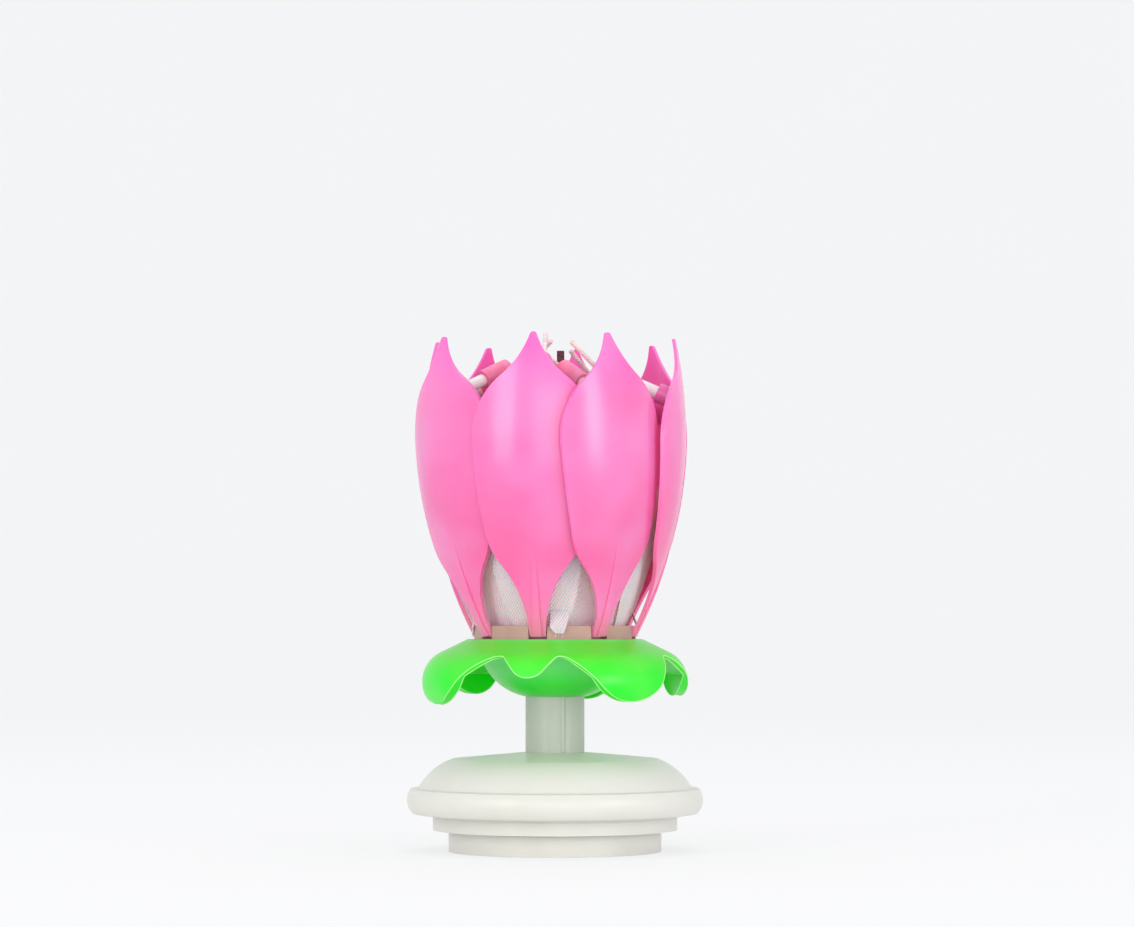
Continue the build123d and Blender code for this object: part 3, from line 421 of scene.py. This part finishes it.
# %% [markdown]
# ## Cloth petals: the material
# The cloth petals are cut from thin pink-white satin, on the bias: the threads run at 38
# degrees to the petal, which lets the cloth follow a curve. The weave reads the cloth's own
# UV map, which is in metres on the flat cut, so the threads turn with every fold. Real
# threads are about 0.2 mm apart, and here they are 0.54 mm so that they show.

# %% Satin
thread_spacing = 0.54 * MM
bias_angle = 38


def bias_satin():
    material, tree, shader = start_material(
        "woven_pink_satin", Roughness=0.6, IOR=1.5, Sheen_Weight=0.9, Sheen_Roughness=0.45,
        Subsurface_Weight=0.5, Subsurface_Scale=0.002)
    cut = node(tree, "ShaderNodeUVMap", {"uv_map": "flat_cut"}).outputs["UV"]
    bias = node(tree, "ShaderNodeMapping", inputs={
        "Vector": cut, "Rotation": (0.0, 0.0, math.radians(bias_angle))}).outputs["Vector"]
    axes = node(tree, "ShaderNodeSeparateXYZ", inputs={"Vector": bias}).outputs
    warp_wave, weft_wave = [
        node(tree, "ShaderNodeMath", {"operation": "SINE"}, {
            0: node(tree, "ShaderNodeMath", {"operation": "MULTIPLY"}, {
                0: axes[name], 1: 2 * math.pi / thread_spacing}).outputs[0]}).outputs[0]
        for name in ("X", "Y")]
    # satin floats: the warp lies on top, and the weft shows only as a weak second wave
    weft_share = 0.35
    weave = node(tree, "ShaderNodeMath", {"operation": "MULTIPLY_ADD"}, {
        0: weft_wave, 1: weft_share, 2: warp_wave}).outputs[0]
    light = node(tree, "ShaderNodeMapRange", inputs={
        "Value": weave, "From Min": -1 - weft_share, "From Max": 1 + weft_share})
    # patches about 6 mm across
    patches = node(tree, "ShaderNodeTexNoise", inputs={
        "Vector": cut, "Scale": 160.0, "Detail": 3.0}).outputs["Fac"]
    ground = node(tree, "ShaderNodeMix", RGBA, {
        FACTOR: patches, COLOUR_A: srgb("ffeaee"), COLOUR_B: srgb("fffafa")}).outputs[MIXED]
    threads = node(tree, "ShaderNodeMix", RGBA, {
        FACTOR: light.outputs["Result"], COLOUR_A: srgb("ffb2c3"), COLOUR_B: ground})
    relief = node(tree, "ShaderNodeBump", inputs={
        "Height": weave, "Strength": 0.7, "Distance": 0.09 * MM})
    lead_to(shader, Base_Color=threads.outputs[MIXED], Normal=relief.outputs["Normal"])
    return material


finishes["cloth"] = bias_satin()
print("threads every", thread_spacing * 1000, "mm")

# %% [markdown]
# ## Cloth petals: the form
# Each cloth petal stands on the hub plate and bends outwards like the plastic ones. The
# form has a rule: across, it is an arc of one radius, and upwards it follows one tall arc.
# Its outline is two arcs that meet at the shoulder, its widest place. Soft pleats run up
# from the narrow foot, where the cloth is gathered, and fan out towards the edge. A grid
# that is laid over this rule is simpler and steadier than a simulation.

# %% Cloth sizes, in millimetres as in the solids
cloth_foot, cloth_tall, cloth_half = 51.82, 36.5, 11.6
cloth_belly, cloth_arc, cloth_arc_height, cloth_cup = 27.25, 112.0, 100.7, 24.0
cloth_wall, layer_step = 0.22, 0.8
first_bearing, next_bearing = -12.0, 45
foot_half, tip_half = 5.6, 1.5
shoulder = (cloth_half, 0.72 * cloth_tall)
outline = [
    [(foot_half, 0.0), (0.88 * cloth_half, 0.36 * cloth_tall), shoulder],
    [shoulder, (0.62 * cloth_half, 0.93 * cloth_tall), (tip_half, cloth_tall)],
]


def arc_width(points, rise):
    """Half width at a rise, on the circle through three (half width, rise) points."""
    (x1, y1), (x2, y2), (x3, y3) = points
    d = 2 * (x1 * (y2 - y3) + x2 * (y3 - y1) + x3 * (y1 - y2))
    s1, s2, s3 = x1 * x1 + y1 * y1, x2 * x2 + y2 * y2, x3 * x3 + y3 * y3
    cx = (s1 * (y2 - y3) + s2 * (y3 - y1) + s3 * (y1 - y2)) / d
    cy = (s1 * (x3 - x2) + s2 * (x1 - x3) + s3 * (x2 - x1)) / d
    reach = math.sqrt(max(0.0, (x1 - cx) ** 2 + (y1 - cy) ** 2 - (rise - cy) ** 2))
    return cx + math.copysign(reach, x2 - cx)


def cloth_width(rise):
    return arc_width(outline[0 if rise <= shoulder[1] else 1], rise)


def cloth_point(across, rise, bearing, inset, fold):
    """Place of a point of the cloth, with its fold as an offset away from the axis."""
    lean = math.asin(across / cloth_cup)
    reach = cloth_arc - cloth_cup * (1 - math.cos(lean))
    height = cloth_foot + rise
    out = (cloth_belly - inset - cloth_arc
           + math.sqrt(reach ** 2 - (cloth_arc_height - height) ** 2) + fold)
    turn = math.radians(bearing)
    return Vector((out * math.sin(turn) + across * math.cos(turn),
                   -out * math.cos(turn) + across * math.sin(turn), height)) * MM


print("half width at the shoulder", round(cloth_width(shoulder[1]), 2), "mm")

# %% [markdown]
# The pleats of the outer layer only rise outwards and those of the inner layer only inwards,
# so the two layers can't meet. A fixed seed for each petal makes the folds differ in the
# same way at each run.

# %% Blade of a cloth petal
blade_columns, blade_rows = 36, 44
first_seed = 40
pleat_depth, inner_pleat_share, pleat_start = 0.42, 0.45, 9.0


def cloth_blade(bearing, inner, rng):
    """Points of the blade, row by row, and where each of them lies on the flat cut."""
    pleats = [(rng.uniform(1.5, 3.2), rng.uniform(0, math.tau), rng.uniform(0.5, 1.0))
              for _ in range(3)]
    verts, cuts = [], []
    for row in range(blade_rows + 1):
        rise = cloth_tall * row / blade_rows
        half = cloth_width(rise)
        grow = min(1.0, rise / pleat_start) * (0.35 + 0.65 * rise / cloth_tall)
        for column in range(blade_columns + 1):
            side = 2 * column / blade_columns - 1
            wave = sum(size * (0.5 + 0.5 * math.sin(rate * math.pi * side + start))
                       for rate, start, size in pleats)
            fold = pleat_depth * wave * grow
            verts.append(cloth_point(
                side * half, rise, bearing, layer_step if inner else 0.0,
                -inner_pleat_share * fold if inner else fold))
            cuts.append((side * half * MM, rise * MM))
    return verts, cuts


print("blade grid:", blade_columns, "by", blade_rows)

# %% [markdown]
# An outer cloth also has a tongue that hangs over the outside of the hub's ring. It follows
# a line of (radius, height) points, narrows towards its end and is cut a little unevenly.

# %% Tongue of an outer cloth
tongue_columns, tongue_rows = 14, 18
tongue_start, tongue_end, ring_radius = 3.0, 8.2, 19.9
tongue_line = [(18.95, 58.4), (19.05, 57.6), (19.2, 56.8), (19.45, 56.0), (19.75, 55.2),
               (20.0, 54.5), (20.08, 53.8), (20.05, 53.1), (20.0, 52.45)]


def tongue_point(across, share, bearing):
    place = share * (len(tongue_line) - 1)
    step = min(int(place), len(tongue_line) - 2)
    (r1, z1), (r2, z2) = tongue_line[step:step + 2]
    reach, height = r1 + (r2 - r1) * (place - step), z1 + (z2 - z1) * (place - step)
    turn = math.radians(bearing) + across / ring_radius
    return Vector((reach * math.sin(turn), -reach * math.cos(turn), height)) * MM


def cloth_tongue(bearing, rng):
    """Points of the tongue, row by row, and where each of them lies on the flat cut."""
    slant, corner, corner_from = 1.9, 1.5, 0.72
    verts, cuts = [], []
    for row in range(tongue_rows + 1):
        share = row / tongue_rows
        left = tongue_start + corner * max(0.0, share - corner_from) / (1 - corner_from)
        right = tongue_end - slant * share
        for column in range(tongue_columns + 1):
            across = left + (right - left) * (column / tongue_columns)
            uneven = 0.05 * rng.random() if row == tongue_rows else 0.0
            verts.append(tongue_point(across, share * (1.0 - uneven), bearing))
            cuts.append((across * MM, verts[-1].z - cloth_foot * MM))
    return verts, cuts


print("tongue hangs down", round(tongue_line[0][1] - tongue_line[-1][1], 2), "mm")

# %% [markdown]
# Both parts are grids, so one function lists the faces of a grid and another turns points
# and faces into a smooth mesh. Solidify then gives the sheet its thickness.

# %% Grids and meshes
def grid_faces(columns, rows, start=0, turned=False):
    """Faces of a grid whose points are listed row by row; turned ones face the other way."""
    faces = []
    for row in range(rows):
        for column in range(columns):
            a = start + row * (columns + 1) + column
            ring = (a + 1, a + columns + 2, a + columns + 1)
            faces.append((a, *(reversed(ring) if turned else ring)))
    return faces


def smooth_mesh(name, verts, faces, finish):
    mesh = bpy.data.meshes.new(name)
    mesh.from_pydata(verts, [], faces)
    for face in mesh.polygons:
        face.use_smooth = True
    mesh.materials.append(finish)
    return mesh


# %% Cloth petals
def cloth_petal(index):
    """The sheet of one cloth petal, and its cut edges as lists of points."""
    inner = index % 2 == 1
    bearing = first_bearing + next_bearing * index
    rng = random.Random(first_seed + index)
    verts, cuts = cloth_blade(bearing, inner, rng)
    faces = grid_faces(blade_columns, blade_rows)
    edges = [verts[side::blade_columns + 1] for side in (0, blade_columns)]
    if not inner:
        faces += grid_faces(tongue_columns, tongue_rows, start=len(verts), turned=True)
        tongue, tongue_cuts = cloth_tongue(bearing, rng)
        verts, cuts = verts + tongue, cuts + tongue_cuts
        edges.append(tongue[-tongue_columns - 1:])
    mesh = smooth_mesh(f"cloth_petal_{index + 1}", verts, faces, finishes["cloth"])
    layer = mesh.uv_layers.new(name="flat_cut")
    for loop in mesh.loops:
        layer.data[loop.index].uv = cuts[loop.vertex_index]
    sheet = add_object(mesh.name, mesh)
    wall = sheet.modifiers.new("thickness", "SOLIDIFY")
    wall.thickness, wall.offset = cloth_wall * MM, -1
    return sheet, edges


cloths, cloth_edges = zip(*[cloth_petal(index) for index in range(8)])
print("cloth petals:", len(cloths), "each with", len(cloths[0].data.polygons), "faces")

# %% [markdown]
# ## Wicks
# A wick is three cotton strands twisted together and dipped in wax. The twist repeats one
# strand by a rule, which suits Geometry Nodes: a spiral curve gets a round profile, and
# copies of it stand at equal angles. Named inputs hold the sizes, so one tree serves all
# eight wicks. A small sideways bend grows with the square of the height, as in a stub that
# was pinched by hand.

# %% Waxed cotton
def waxed_cotton():
    material, tree, shader = start_material(
        "waxed_cotton_wick", Roughness=0.55, IOR=1.45,
        Subsurface_Weight=0.4, Subsurface_Scale=0.0008)
    place = node(tree, "ShaderNodeTexCoord").outputs["Object"]
    # wax stains some stretches pink: spots of about 3 mm
    stained, _ = clouded(tree, place, 330.0, 2.0, 0.42, 0.62, srgb("fae4dc"), "f8ccd2")
    relief = grained(tree, place, 6000.0, 0.5, 0.06)
    lead_to(shader, Base_Color=stained, Normal=relief)
    return material


finishes["wick_cotton"] = waxed_cotton()
print("made", finishes["wick_cotton"].name)

# %% [markdown]
# Every tree below starts with a Geometry input, its named sizes and a Finish, runs a round
# section along a curve, and ends by giving its finish to the geometry. Three small helpers
# write what these trees have in common.

# %% What the trees share
def start_tree(name, **sizes):
    """New geometry tree with named inputs; an input's spaces are written as underscores."""
    tree = bpy.data.node_groups.new(name, "GeometryNodeTree")
    tree.interface.new_socket("Geometry", in_out="INPUT", socket_type="NodeSocketGeometry")
    for key, value in sizes.items():
        kind = "NodeSocketInt" if isinstance(value, int) else "NodeSocketFloat"
        made = tree.interface.new_socket(key.replace("_", " "), in_out="INPUT", socket_type=kind)
        made.default_value = value
    tree.interface.new_socket("Finish", in_out="INPUT", socket_type="NodeSocketMaterial")
    tree.interface.new_socket("Geometry", in_out="OUTPUT", socket_type="NodeSocketGeometry")
    return tree, node(tree, "NodeGroupInput").outputs


def round_wire(tree, curve, radius, sides):
    """Mesh of a round section that runs along a curve."""
    section = node(tree, "GeometryNodeCurvePrimitiveCircle", inputs={
        "Resolution": sides, "Radius": radius}).outputs["Curve"]
    return node(tree, "GeometryNodeCurveToMesh", inputs={
        "Curve": curve, "Profile Curve": section, "Fill Caps": True}).outputs["Mesh"]


def end_tree(tree, geometry, finish):
    dressed = node(tree, "GeometryNodeSetMaterial", inputs={
        "Geometry": geometry, "Material": finish})
    node(tree, "NodeGroupOutput", inputs={"Geometry": dressed.outputs["Geometry"]})
    print("inputs:", [i.name for i in tree.interface.items_tree if i.in_out == "INPUT"])
    return tree


# %% The twisted strand tree
def strand_tree():
    tree, given = start_tree(
        "twisted_strands", Length=0.01, Strands=3, Strand_Radius=0.0003, Twist_Radius=0.00025,
        Turns=4.0, Bend=0.0)
    spiral = node(tree, "GeometryNodeCurveSpiral", inputs={
        "Resolution": 12, "Rotations": given["Turns"], "Start Radius": given["Twist Radius"],
        "End Radius": given["Twist Radius"], "Height": given["Length"]})
    strand = round_wire(tree, spiral.outputs["Curve"], given["Strand Radius"], 10)
    points = node(tree, "GeometryNodePoints", inputs={"Count": given["Strands"]})
    number = node(tree, "GeometryNodeInputIndex")
    step = node(tree, "ShaderNodeMath", {"operation": "DIVIDE"}, {
        0: math.tau, 1: given["Strands"]})
    angle = node(tree, "ShaderNodeMath", {"operation": "MULTIPLY"}, {
        0: number.outputs["Index"], 1: step.outputs[0]})
    turn = node(tree, "ShaderNodeCombineXYZ", inputs={"Z": angle.outputs[0]})
    copies = node(tree, "GeometryNodeInstanceOnPoints", inputs={
        "Points": points.outputs["Points"], "Instance": strand,
        "Rotation": turn.outputs["Vector"]})
    solid = node(tree, "GeometryNodeRealizeInstances", inputs={
        "Geometry": copies.outputs["Instances"]})
    place = node(tree, "ShaderNodeSeparateXYZ", inputs={
        "Vector": node(tree, "GeometryNodeInputPosition").outputs[0]})
    share = node(tree, "ShaderNodeMath", {"operation": "DIVIDE"}, {
        0: place.outputs["Z"], 1: given["Length"]})
    square = node(tree, "ShaderNodeMath", {"operation": "MULTIPLY"}, {
        0: share.outputs[0], 1: share.outputs[0]})
    aside = node(tree, "ShaderNodeMath", {"operation": "MULTIPLY"}, {
        0: square.outputs[0], 1: given["Bend"]})
    offset = node(tree, "ShaderNodeCombineXYZ", inputs={"X": aside.outputs[0]})
    bent = node(tree, "GeometryNodeSetPosition", inputs={
        "Geometry": solid.outputs["Geometry"], "Offset": offset.outputs["Vector"]})
    smooth = node(tree, "GeometryNodeSetShadeSmooth", inputs={
        "Geometry": bent.outputs["Geometry"]})
    return end_tree(tree, smooth.outputs["Geometry"], given["Finish"])


strands = strand_tree()

# %% [markdown]
# The helper below runs a tree once and keeps the result as a plain mesh: the modifier's
# inputs are set by their identifiers, the evaluated object is copied to a mesh, and the
# place is then written into the mesh, so that the object itself sits at the origin.

# %% Bake a tree
def bake(name, tree, values, place=Matrix.Identity(4), start=None):
    carrier = add_object(name + "_carrier", start or bpy.data.meshes.new(name + "_start"))
    modifier = carrier.modifiers.new("tree", "NODES")
    modifier.node_group = tree
    for item in tree.interface.items_tree:
        if item.in_out == "INPUT" and item.name in values:
            modifier[item.identifier] = values[item.name]
    evaluated = carrier.evaluated_get(bpy.context.evaluated_depsgraph_get())
    mesh = bpy.data.meshes.new_from_object(evaluated)
    mesh.name = name
    mesh.transform(place)
    bpy.data.objects.remove(carrier)
    return add_object(name, mesh)


def ends_of(solid):
    """Middles of a straight rod's two ends, from its mesh, the lower one first."""
    points = [vertex.co.copy() for vertex in solid.data.vertices]
    middle = sum(points, Vector()) / len(points)
    far = max(points, key=lambda point: (point - middle).length)
    line = (far - middle).normalized()
    upper = [point for point in points if (point - middle).dot(line) > 0]
    lower = [point for point in points if (point - middle).dot(line) <= 0]
    ends = [sum(group, Vector()) / len(group) for group in (lower, upper)]
    return sorted(ends, key=lambda end: end.z)


# %% Eight wicks
wick_bends_mm = (0.5, 0.3, -0.4, 0.3, -0.5, 0.4, 0.3, -0.4)
twist_length = 10.5 * MM
wicks = []
for number, bend_mm in enumerate(wick_bends_mm, start=1):
    foot, top = ends_of(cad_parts[f"wick_{number}"])
    line = top - foot
    place = Matrix.Translation(foot) @ line.to_track_quat("Z", "Y").to_matrix().to_4x4()
    wicks.append(bake(f"twisted_wick_{number}", strands, {
        "Length": line.length, "Strands": 3, "Strand Radius": 0.36 * MM,
        "Twist Radius": 0.26 * MM, "Turns": 4.0 * line.length / twist_length,
        "Bend": bend_mm * MM, "Finish": finishes["wick_cotton"]}, place))
print("wicks:", [len(wick.data.polygons) for wick in wicks])

# %% [markdown]
# ## Frayed edges
# The cloth is cut with scissors and has no hem, so short threads stand out of its edges. The
# tree takes an edge as a line, sets points on it at a given spacing, and puts a thread on
# each point. A vector that is stored on the line says which way is out, and a seeded random
# turn and length keep the threads from looking combed.

# %% The fringe tree
def fringe_tree():
    tree, given = start_tree(
        "frayed_threads", Spacing=0.0005, Thread_Length=0.0011, Thread_Radius=0.00006, Seed=1)
    line = node(tree, "GeometryNodeMeshToCurve", inputs={"Mesh": given["Geometry"]})
    points = node(tree, "GeometryNodeCurveToPoints", {"mode": "LENGTH"}, {
        "Curve": line.outputs["Curve"], "Length": given["Spacing"]})
    out = node(tree, "GeometryNodeInputNamedAttribute", {"data_type": "FLOAT_VECTOR"}, {
        "Name": "outward"})
    scatter = node(tree, "FunctionNodeRandomValue", {"data_type": "FLOAT_VECTOR"}, {
        0: (-0.7, -0.7, -0.9), 1: (0.7, 0.7, 0.5), "Seed": given["Seed"]})
    aim = node(tree, "ShaderNodeVectorMath", {"operation": "ADD"}, {
        0: out.outputs["Attribute"], 1: scatter.outputs[0]})
    turn = node(tree, "FunctionNodeAlignRotationToVector", {"axis": "Z"}, {
        "Vector": aim.outputs["Vector"]})
    size = node(tree, "FunctionNodeRandomValue", {"data_type": "FLOAT"}, {
        2: 0.35, 3: 1.0, "Seed": given["Seed"]})
    # one thread is a shallow bow that starts 0.25 mm inside the cloth
    aside, middle_up = [
        node(tree, "ShaderNodeMath", {"operation": "MULTIPLY"}, {
            0: given["Thread Length"], 1: share}).outputs[0] for share in (0.22, 0.55)]
    middle = node(tree, "ShaderNodeCombineXYZ", inputs={"X": aside, "Z": middle_up})
    tip = node(tree, "ShaderNodeCombineXYZ", inputs={"Z": given["Thread Length"]})
    bow = node(tree, "GeometryNodeCurveQuadraticBezier", inputs={
        "Resolution": 4, "Start": (0.0, 0.0, -0.25 * MM), "Middle": middle.outputs["Vector"],
        "End": tip.outputs["Vector"]})
    thread = round_wire(tree, bow.outputs["Curve"], given["Thread Radius"], 4)
    copies = node(tree, "GeometryNodeInstanceOnPoints", inputs={
        "Points": points.outputs["Points"], "Instance": thread,
        "Rotation": turn.outputs["Rotation"], "Scale": size.outputs[1]})
    solid = node(tree, "GeometryNodeRealizeInstances", inputs={
        "Geometry": copies.outputs["Instances"]})
    return end_tree(tree, solid.outputs["Geometry"], given["Finish"])


def loose_thread():
    material, tree, shader = start_material(
        "loose_satin_thread", Roughness=0.5, IOR=1.5,
        Subsurface_Weight=0.2, Subsurface_Scale=0.0004)
    place = node(tree, "ShaderNodeTexCoord").outputs["Object"]
    # plies of the yarn: light and dark every 0.3 mm
    plies = node(tree, "ShaderNodeTexNoise", inputs={
        "Vector": place, "Scale": 3300.0, "Detail": 1.0}).outputs["Fac"]
    coloured = node(tree, "ShaderNodeMix", RGBA, {
        FACTOR: plies, COLOUR_A: srgb("f2d2d2"), COLOUR_B: srgb("fdf3ee")}).outputs[MIXED]
    lead_to(shader, Base_Color=coloured)
    return material


fringe = fringe_tree()
finishes["loose_thread"] = loose_thread()

# %% [markdown]
# An edge leaves out its first two points, which the hub hides, and its upper part, where the
# cloth is hidden by the moulded petals. The tongue's end is frayed all along.

# %% Fray the edges
frayed_rows = slice(2, 30)


def edge_lines(name, edges):
    """Mesh of the edge lines, each point with the direction that leads out of the cloth."""
    mesh = bpy.data.meshes.new(name)
    verts, links, outward = [], [], []
    middle = sum((point for edge in edges[:2] for point in edge), Vector())
    middle /= sum(len(edge) for edge in edges[:2])
    for number, edge in enumerate(edges):
        is_tongue = number == 2
        kept = edge if is_tongue else edge[frayed_rows]
        start = len(verts)
        verts += kept
        links += [(start + i, start + i + 1) for i in range(len(kept) - 1)]
        for point in kept:
            away = Vector((0, 0, -1)) if is_tongue else (point - middle) * Vector((1, 1, 0))
            outward.append(away.normalized())
    mesh.from_pydata(verts, links, [])
    stored = mesh.attributes.new("outward", "FLOAT_VECTOR", "POINT")
    for item, away in zip(stored.data, outward):
        item.vector = away
    return mesh


first_fringe_seed = 7
faces_of_a_thread = 18
frays = [bake(f"frayed_threads_{index + 1}", fringe, {
    "Spacing": 0.55 * MM, "Thread Length": 1.0 * MM, "Thread Radius": 0.06 * MM,
    "Seed": first_fringe_seed + index, "Finish": finishes["loose_thread"],
}, start=edge_lines(f"cloth_edges_{index + 1}", edges)) for index, edges in enumerate(cloth_edges)]
print("threads:", [len(fray.data.polygons) // faces_of_a_thread for fray in frays])

# %% [markdown]
# ## Rolled edge of the sepals
# Where the calyx is cut free from its sprue, the edges of the sepals keep a fine rounded lip.
# Its pale line is a painted highlight: the lip gets a paler green than the calyx, which stands
# for the light that it catches. The lip follows the edges of the solid, so a tree reads them
# from a copy of it: it merges the loose triangles, picks the edges that turn by more than a
# given angle outside the rim, and runs a thin round section along them.

# %% The edge lip tree
def edge_lip_tree():
    tree, given = start_tree("edge_lip", Least_Angle=0.9, Least_Reach=0.022, Lip_Radius=0.00015)
    merged = node(tree, "GeometryNodeMergeByDistance", inputs={
        "Geometry": given["Geometry"], "Distance": 0.002 * MM})
    angle = node(tree, "GeometryNodeInputMeshEdgeAngle").outputs["Unsigned Angle"]
    position = node(tree, "GeometryNodeInputPosition").outputs["Position"]
    _, reach = axes_and_reach(tree, position)
    sharp, outside = [
        node(tree, "FunctionNodeCompare", {"data_type": "FLOAT", "operation": "GREATER_THAN"}, {
            0: value, 1: given[least]}).outputs["Result"]
        for value, least in ((angle, "Least Angle"), (reach, "Least Reach"))]
    both = node(tree, "FunctionNodeBooleanMath", {"operation": "AND"}, {0: sharp, 1: outside})
    lines = node(tree, "GeometryNodeMeshToCurve", inputs={
        "Mesh": merged.outputs["Geometry"], "Selection": both.outputs[0]})
    lip = round_wire(tree, lines.outputs["Curve"], given["Lip Radius"], 6)
    solid = node(tree, "GeometryNodeRealizeInstances", inputs={"Geometry": lip})
    smooth = node(tree, "GeometryNodeSetShadeSmooth", inputs={
        "Geometry": solid.outputs["Geometry"]})
    return end_tree(tree, smooth.outputs["Geometry"], given["Finish"])


# painted highlight: this paler green stands in for the light along the sepals' edges
finishes["lip_plastic"] = moulding(
    "sepal_lip_painted_highlight", "8cff70", "a8ff92", 0.34, 4.0, 0.3, 0.01, depth_mm=0.6)
sepal_lip = bake("sepal_lip", edge_lip_tree(), {
    "Least Angle": math.radians(50), "Least Reach": 22.3 * MM, "Lip Radius": 0.15 * MM,
    "Finish": finishes["lip_plastic"]}, start=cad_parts["calyx"].data.copy())
print("lip faces:", len(sepal_lip.data.polygons))

# %% [markdown]
# ## Parting line on the stem
# The stem is moulded in two halves of a tool, and a low ridge shows where they met. The
# ridge is a strip with a round back that is bent onto the tube, between the dome and the cup.

# %% Parting line
def parting_line(bearing, half_turn, height_mm):
    """Ridge at a bearing, half_turn degrees to each side of it, height_mm proud of the tube."""
    low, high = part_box("stem_tube")
    radius = (high[0] - low[0]) / 2
    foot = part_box("base_top_shell")[1][2] + 0.1 * MM
    top = min(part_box("calyx")[0][2] + 3.0 * MM, high[2])
    rows, columns = 24, 8
    verts = []
    for row in range(rows + 1):
        for column in range(columns + 1):
            side = 2 * column / columns - 1
            turn = math.radians(bearing + side * half_turn)
            reach = radius + height_mm * MM * (1 - side * side) + 0.01 * MM
            verts.append((reach * math.sin(turn), -reach * math.cos(turn),
                          foot + (top - foot) * row / rows))
    print("ridge from", round(foot * 1000, 1), "to", round(top * 1000, 1), "mm")
    mesh = smooth_mesh("stem_parting_line", verts, grid_faces(columns, rows),
                       finishes["stem_plastic"])
    return add_object(mesh.name, mesh)


ridge = parting_line(16.6, 4.0, 0.22)

# %% [markdown]
# ## Ride and replace
# Every new piece moves with the body that carries it. The wicks stand for the plain rods,
# and the cloth petals stand for the two layers of sheet solids. A cloth petal's pleats take up
# 6% of the width and 10% of the length and area of its flat cut, and a tongue adds 4% to an
# outer one's area.

# %% Put the pieces on their bodies
for number, wick in enumerate(wicks, start=1):
    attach(wick, f"petal_{number}")
    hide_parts(f"wick_{number}")
for index, sheet in enumerate(cloths):
    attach(sheet, "turntable")
    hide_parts("cloth_petals_inner" if index % 2 else "cloth_petals_outer")
    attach(frays[index], "turntable")
for piece, slot_name in ((ridge, "stem_plastic"), (sepal_lip, "green_plastic")):
    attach(piece, "turntable")

# %% [markdown]
# ## Stage
# A pale round sheet lies under the object and curves up all round it, so no horizon crosses
# the picture. To the camera and to mirrors the paper is partly a plain white light, so it
# stays white without more light on the object, and it still takes the shadow.

# %% Backdrop paper
def backdrop_paper():
    material, tree, shader = start_material(
        "matt_backdrop_paper", Roughness=0.95, Specular_IOR_Level=0.0)
    place = node(tree, "ShaderNodeTexCoord").outputs["Object"]
    pulp = node(tree, "ShaderNodeTexNoise", inputs={
        "Vector": place, "Scale": 6.0, "Detail": 2.0}).outputs["Fac"]
    paper = node(tree, "ShaderNodeMix", RGBA, {
        FACTOR: pulp, COLOUR_A: srgb("f0f2f3"), COLOUR_B: srgb("f5f6f6")}).outputs[MIXED]
    lead_to(shader, Base_Color=paper)
    rays = node(tree, "ShaderNodeLightPath").outputs
    seen = rays["Is Camera Ray"]
    for kind in ("Is Glossy Ray", "Is Transmission Ray"):
        seen = node(tree, "ShaderNodeMath", {"operation": "MAXIMUM"}, {
            0: seen, 1: rays[kind]}).outputs[0]
    part = node(tree, "ShaderNodeMath", {"operation": "MULTIPLY"}, {0: seen, 1: 0.7})
    white = node(tree, "ShaderNodeEmission", inputs={"Color": srgb("fdfdfe"), "Strength": 1.0})
    both = node(tree, "ShaderNodeMixShader", inputs={
        0: part.outputs[0], 1: shader.outputs["BSDF"], 2: white.outputs["Emission"]})
    tree.links.new(both.outputs["Shader"], tree.nodes["Material Output"].inputs["Surface"])
    return material


# %% Backdrop, in metres
def backdrop():
    """Round floor whose rim bends upwards, as rings of points around a middle one."""
    flat, bend, sides = 1.5, 1.2, 96
    line = [(0.5, 0.0), (1.0, 0.0), (flat, 0.0)]
    line += [(flat + bend * math.sin(a), bend - bend * math.cos(a)) for a in
             [math.radians(step * 7.5) for step in range(1, 11)]]
    verts, faces = [(0.0, 0.0, 0.0)], []
    for reach, height in line:
        for side in range(sides):
            turn = math.tau * side / sides
            verts.append((reach * math.cos(turn), reach * math.sin(turn), height))
    for side in range(sides):
        after = (side + 1) % sides
        faces.append((0, 1 + side, 1 + after))
        for ring in range(len(line) - 1):
            a, b = 1 + ring * sides + side, 1 + ring * sides + after
            faces.append((a, a + sides, b + sides, b))
    mesh = smooth_mesh("backdrop", verts, faces, backdrop_paper())
    print("backdrop faces:", len(faces))
    return add_object(mesh.name, mesh)


backdrop()

# %% [markdown]
# ## Light
# A soft key from the left front, a weaker fill from the right, a broad front lamp and an
# even sky keep colours near the values that they were given, and leave broad, quiet
# highlights on the plastic. The camera doesn't see the lamps themselves.

# %% Lamps and sky
lamp_target = Vector((0.0, 0.0, 0.07))
# name, place and size in metres, power in watts
for name, place, size, watts in (
    ("key", (-0.72, -0.85, 0.26), (0.40, 0.75), 3.6),
    ("fill", (0.82, -0.72, 0.16), (0.35, 0.6), 3.2),
    ("front", (0.05, -1.15, 0.14), (0.60, 0.5), 2.5),
    ("top", (0.0, 0.25, 0.9), (0.6, 0.6), 1.1),
):
    lamp = add_object(name, bpy.data.lights.new(name, "AREA"))
    lamp.data.shape = "RECTANGLE"
    lamp.data.size, lamp.data.size_y = size
    lamp.data.energy = watts
    lamp.visible_camera = False
    lamp.location = place
    lamp.rotation_euler = (lamp_target - Vector(place)).to_track_quat("-Z", "Y").to_euler()
sky = bpy.data.worlds.new("sky")
sky.use_nodes = True
sky_light = sky.node_tree.nodes["Background"].inputs
sky_light["Color"].default_value = srgb("fbfcff")
sky_light["Strength"].default_value = 0.8
bpy.context.scene.world = sky
bpy.context.scene.view_settings.view_transform = "Standard"

# %% [markdown]
# ## Update the scene
# The scene is brought up to date once every piece is in place.

# %% Update the scene
bpy.context.view_layer.update()
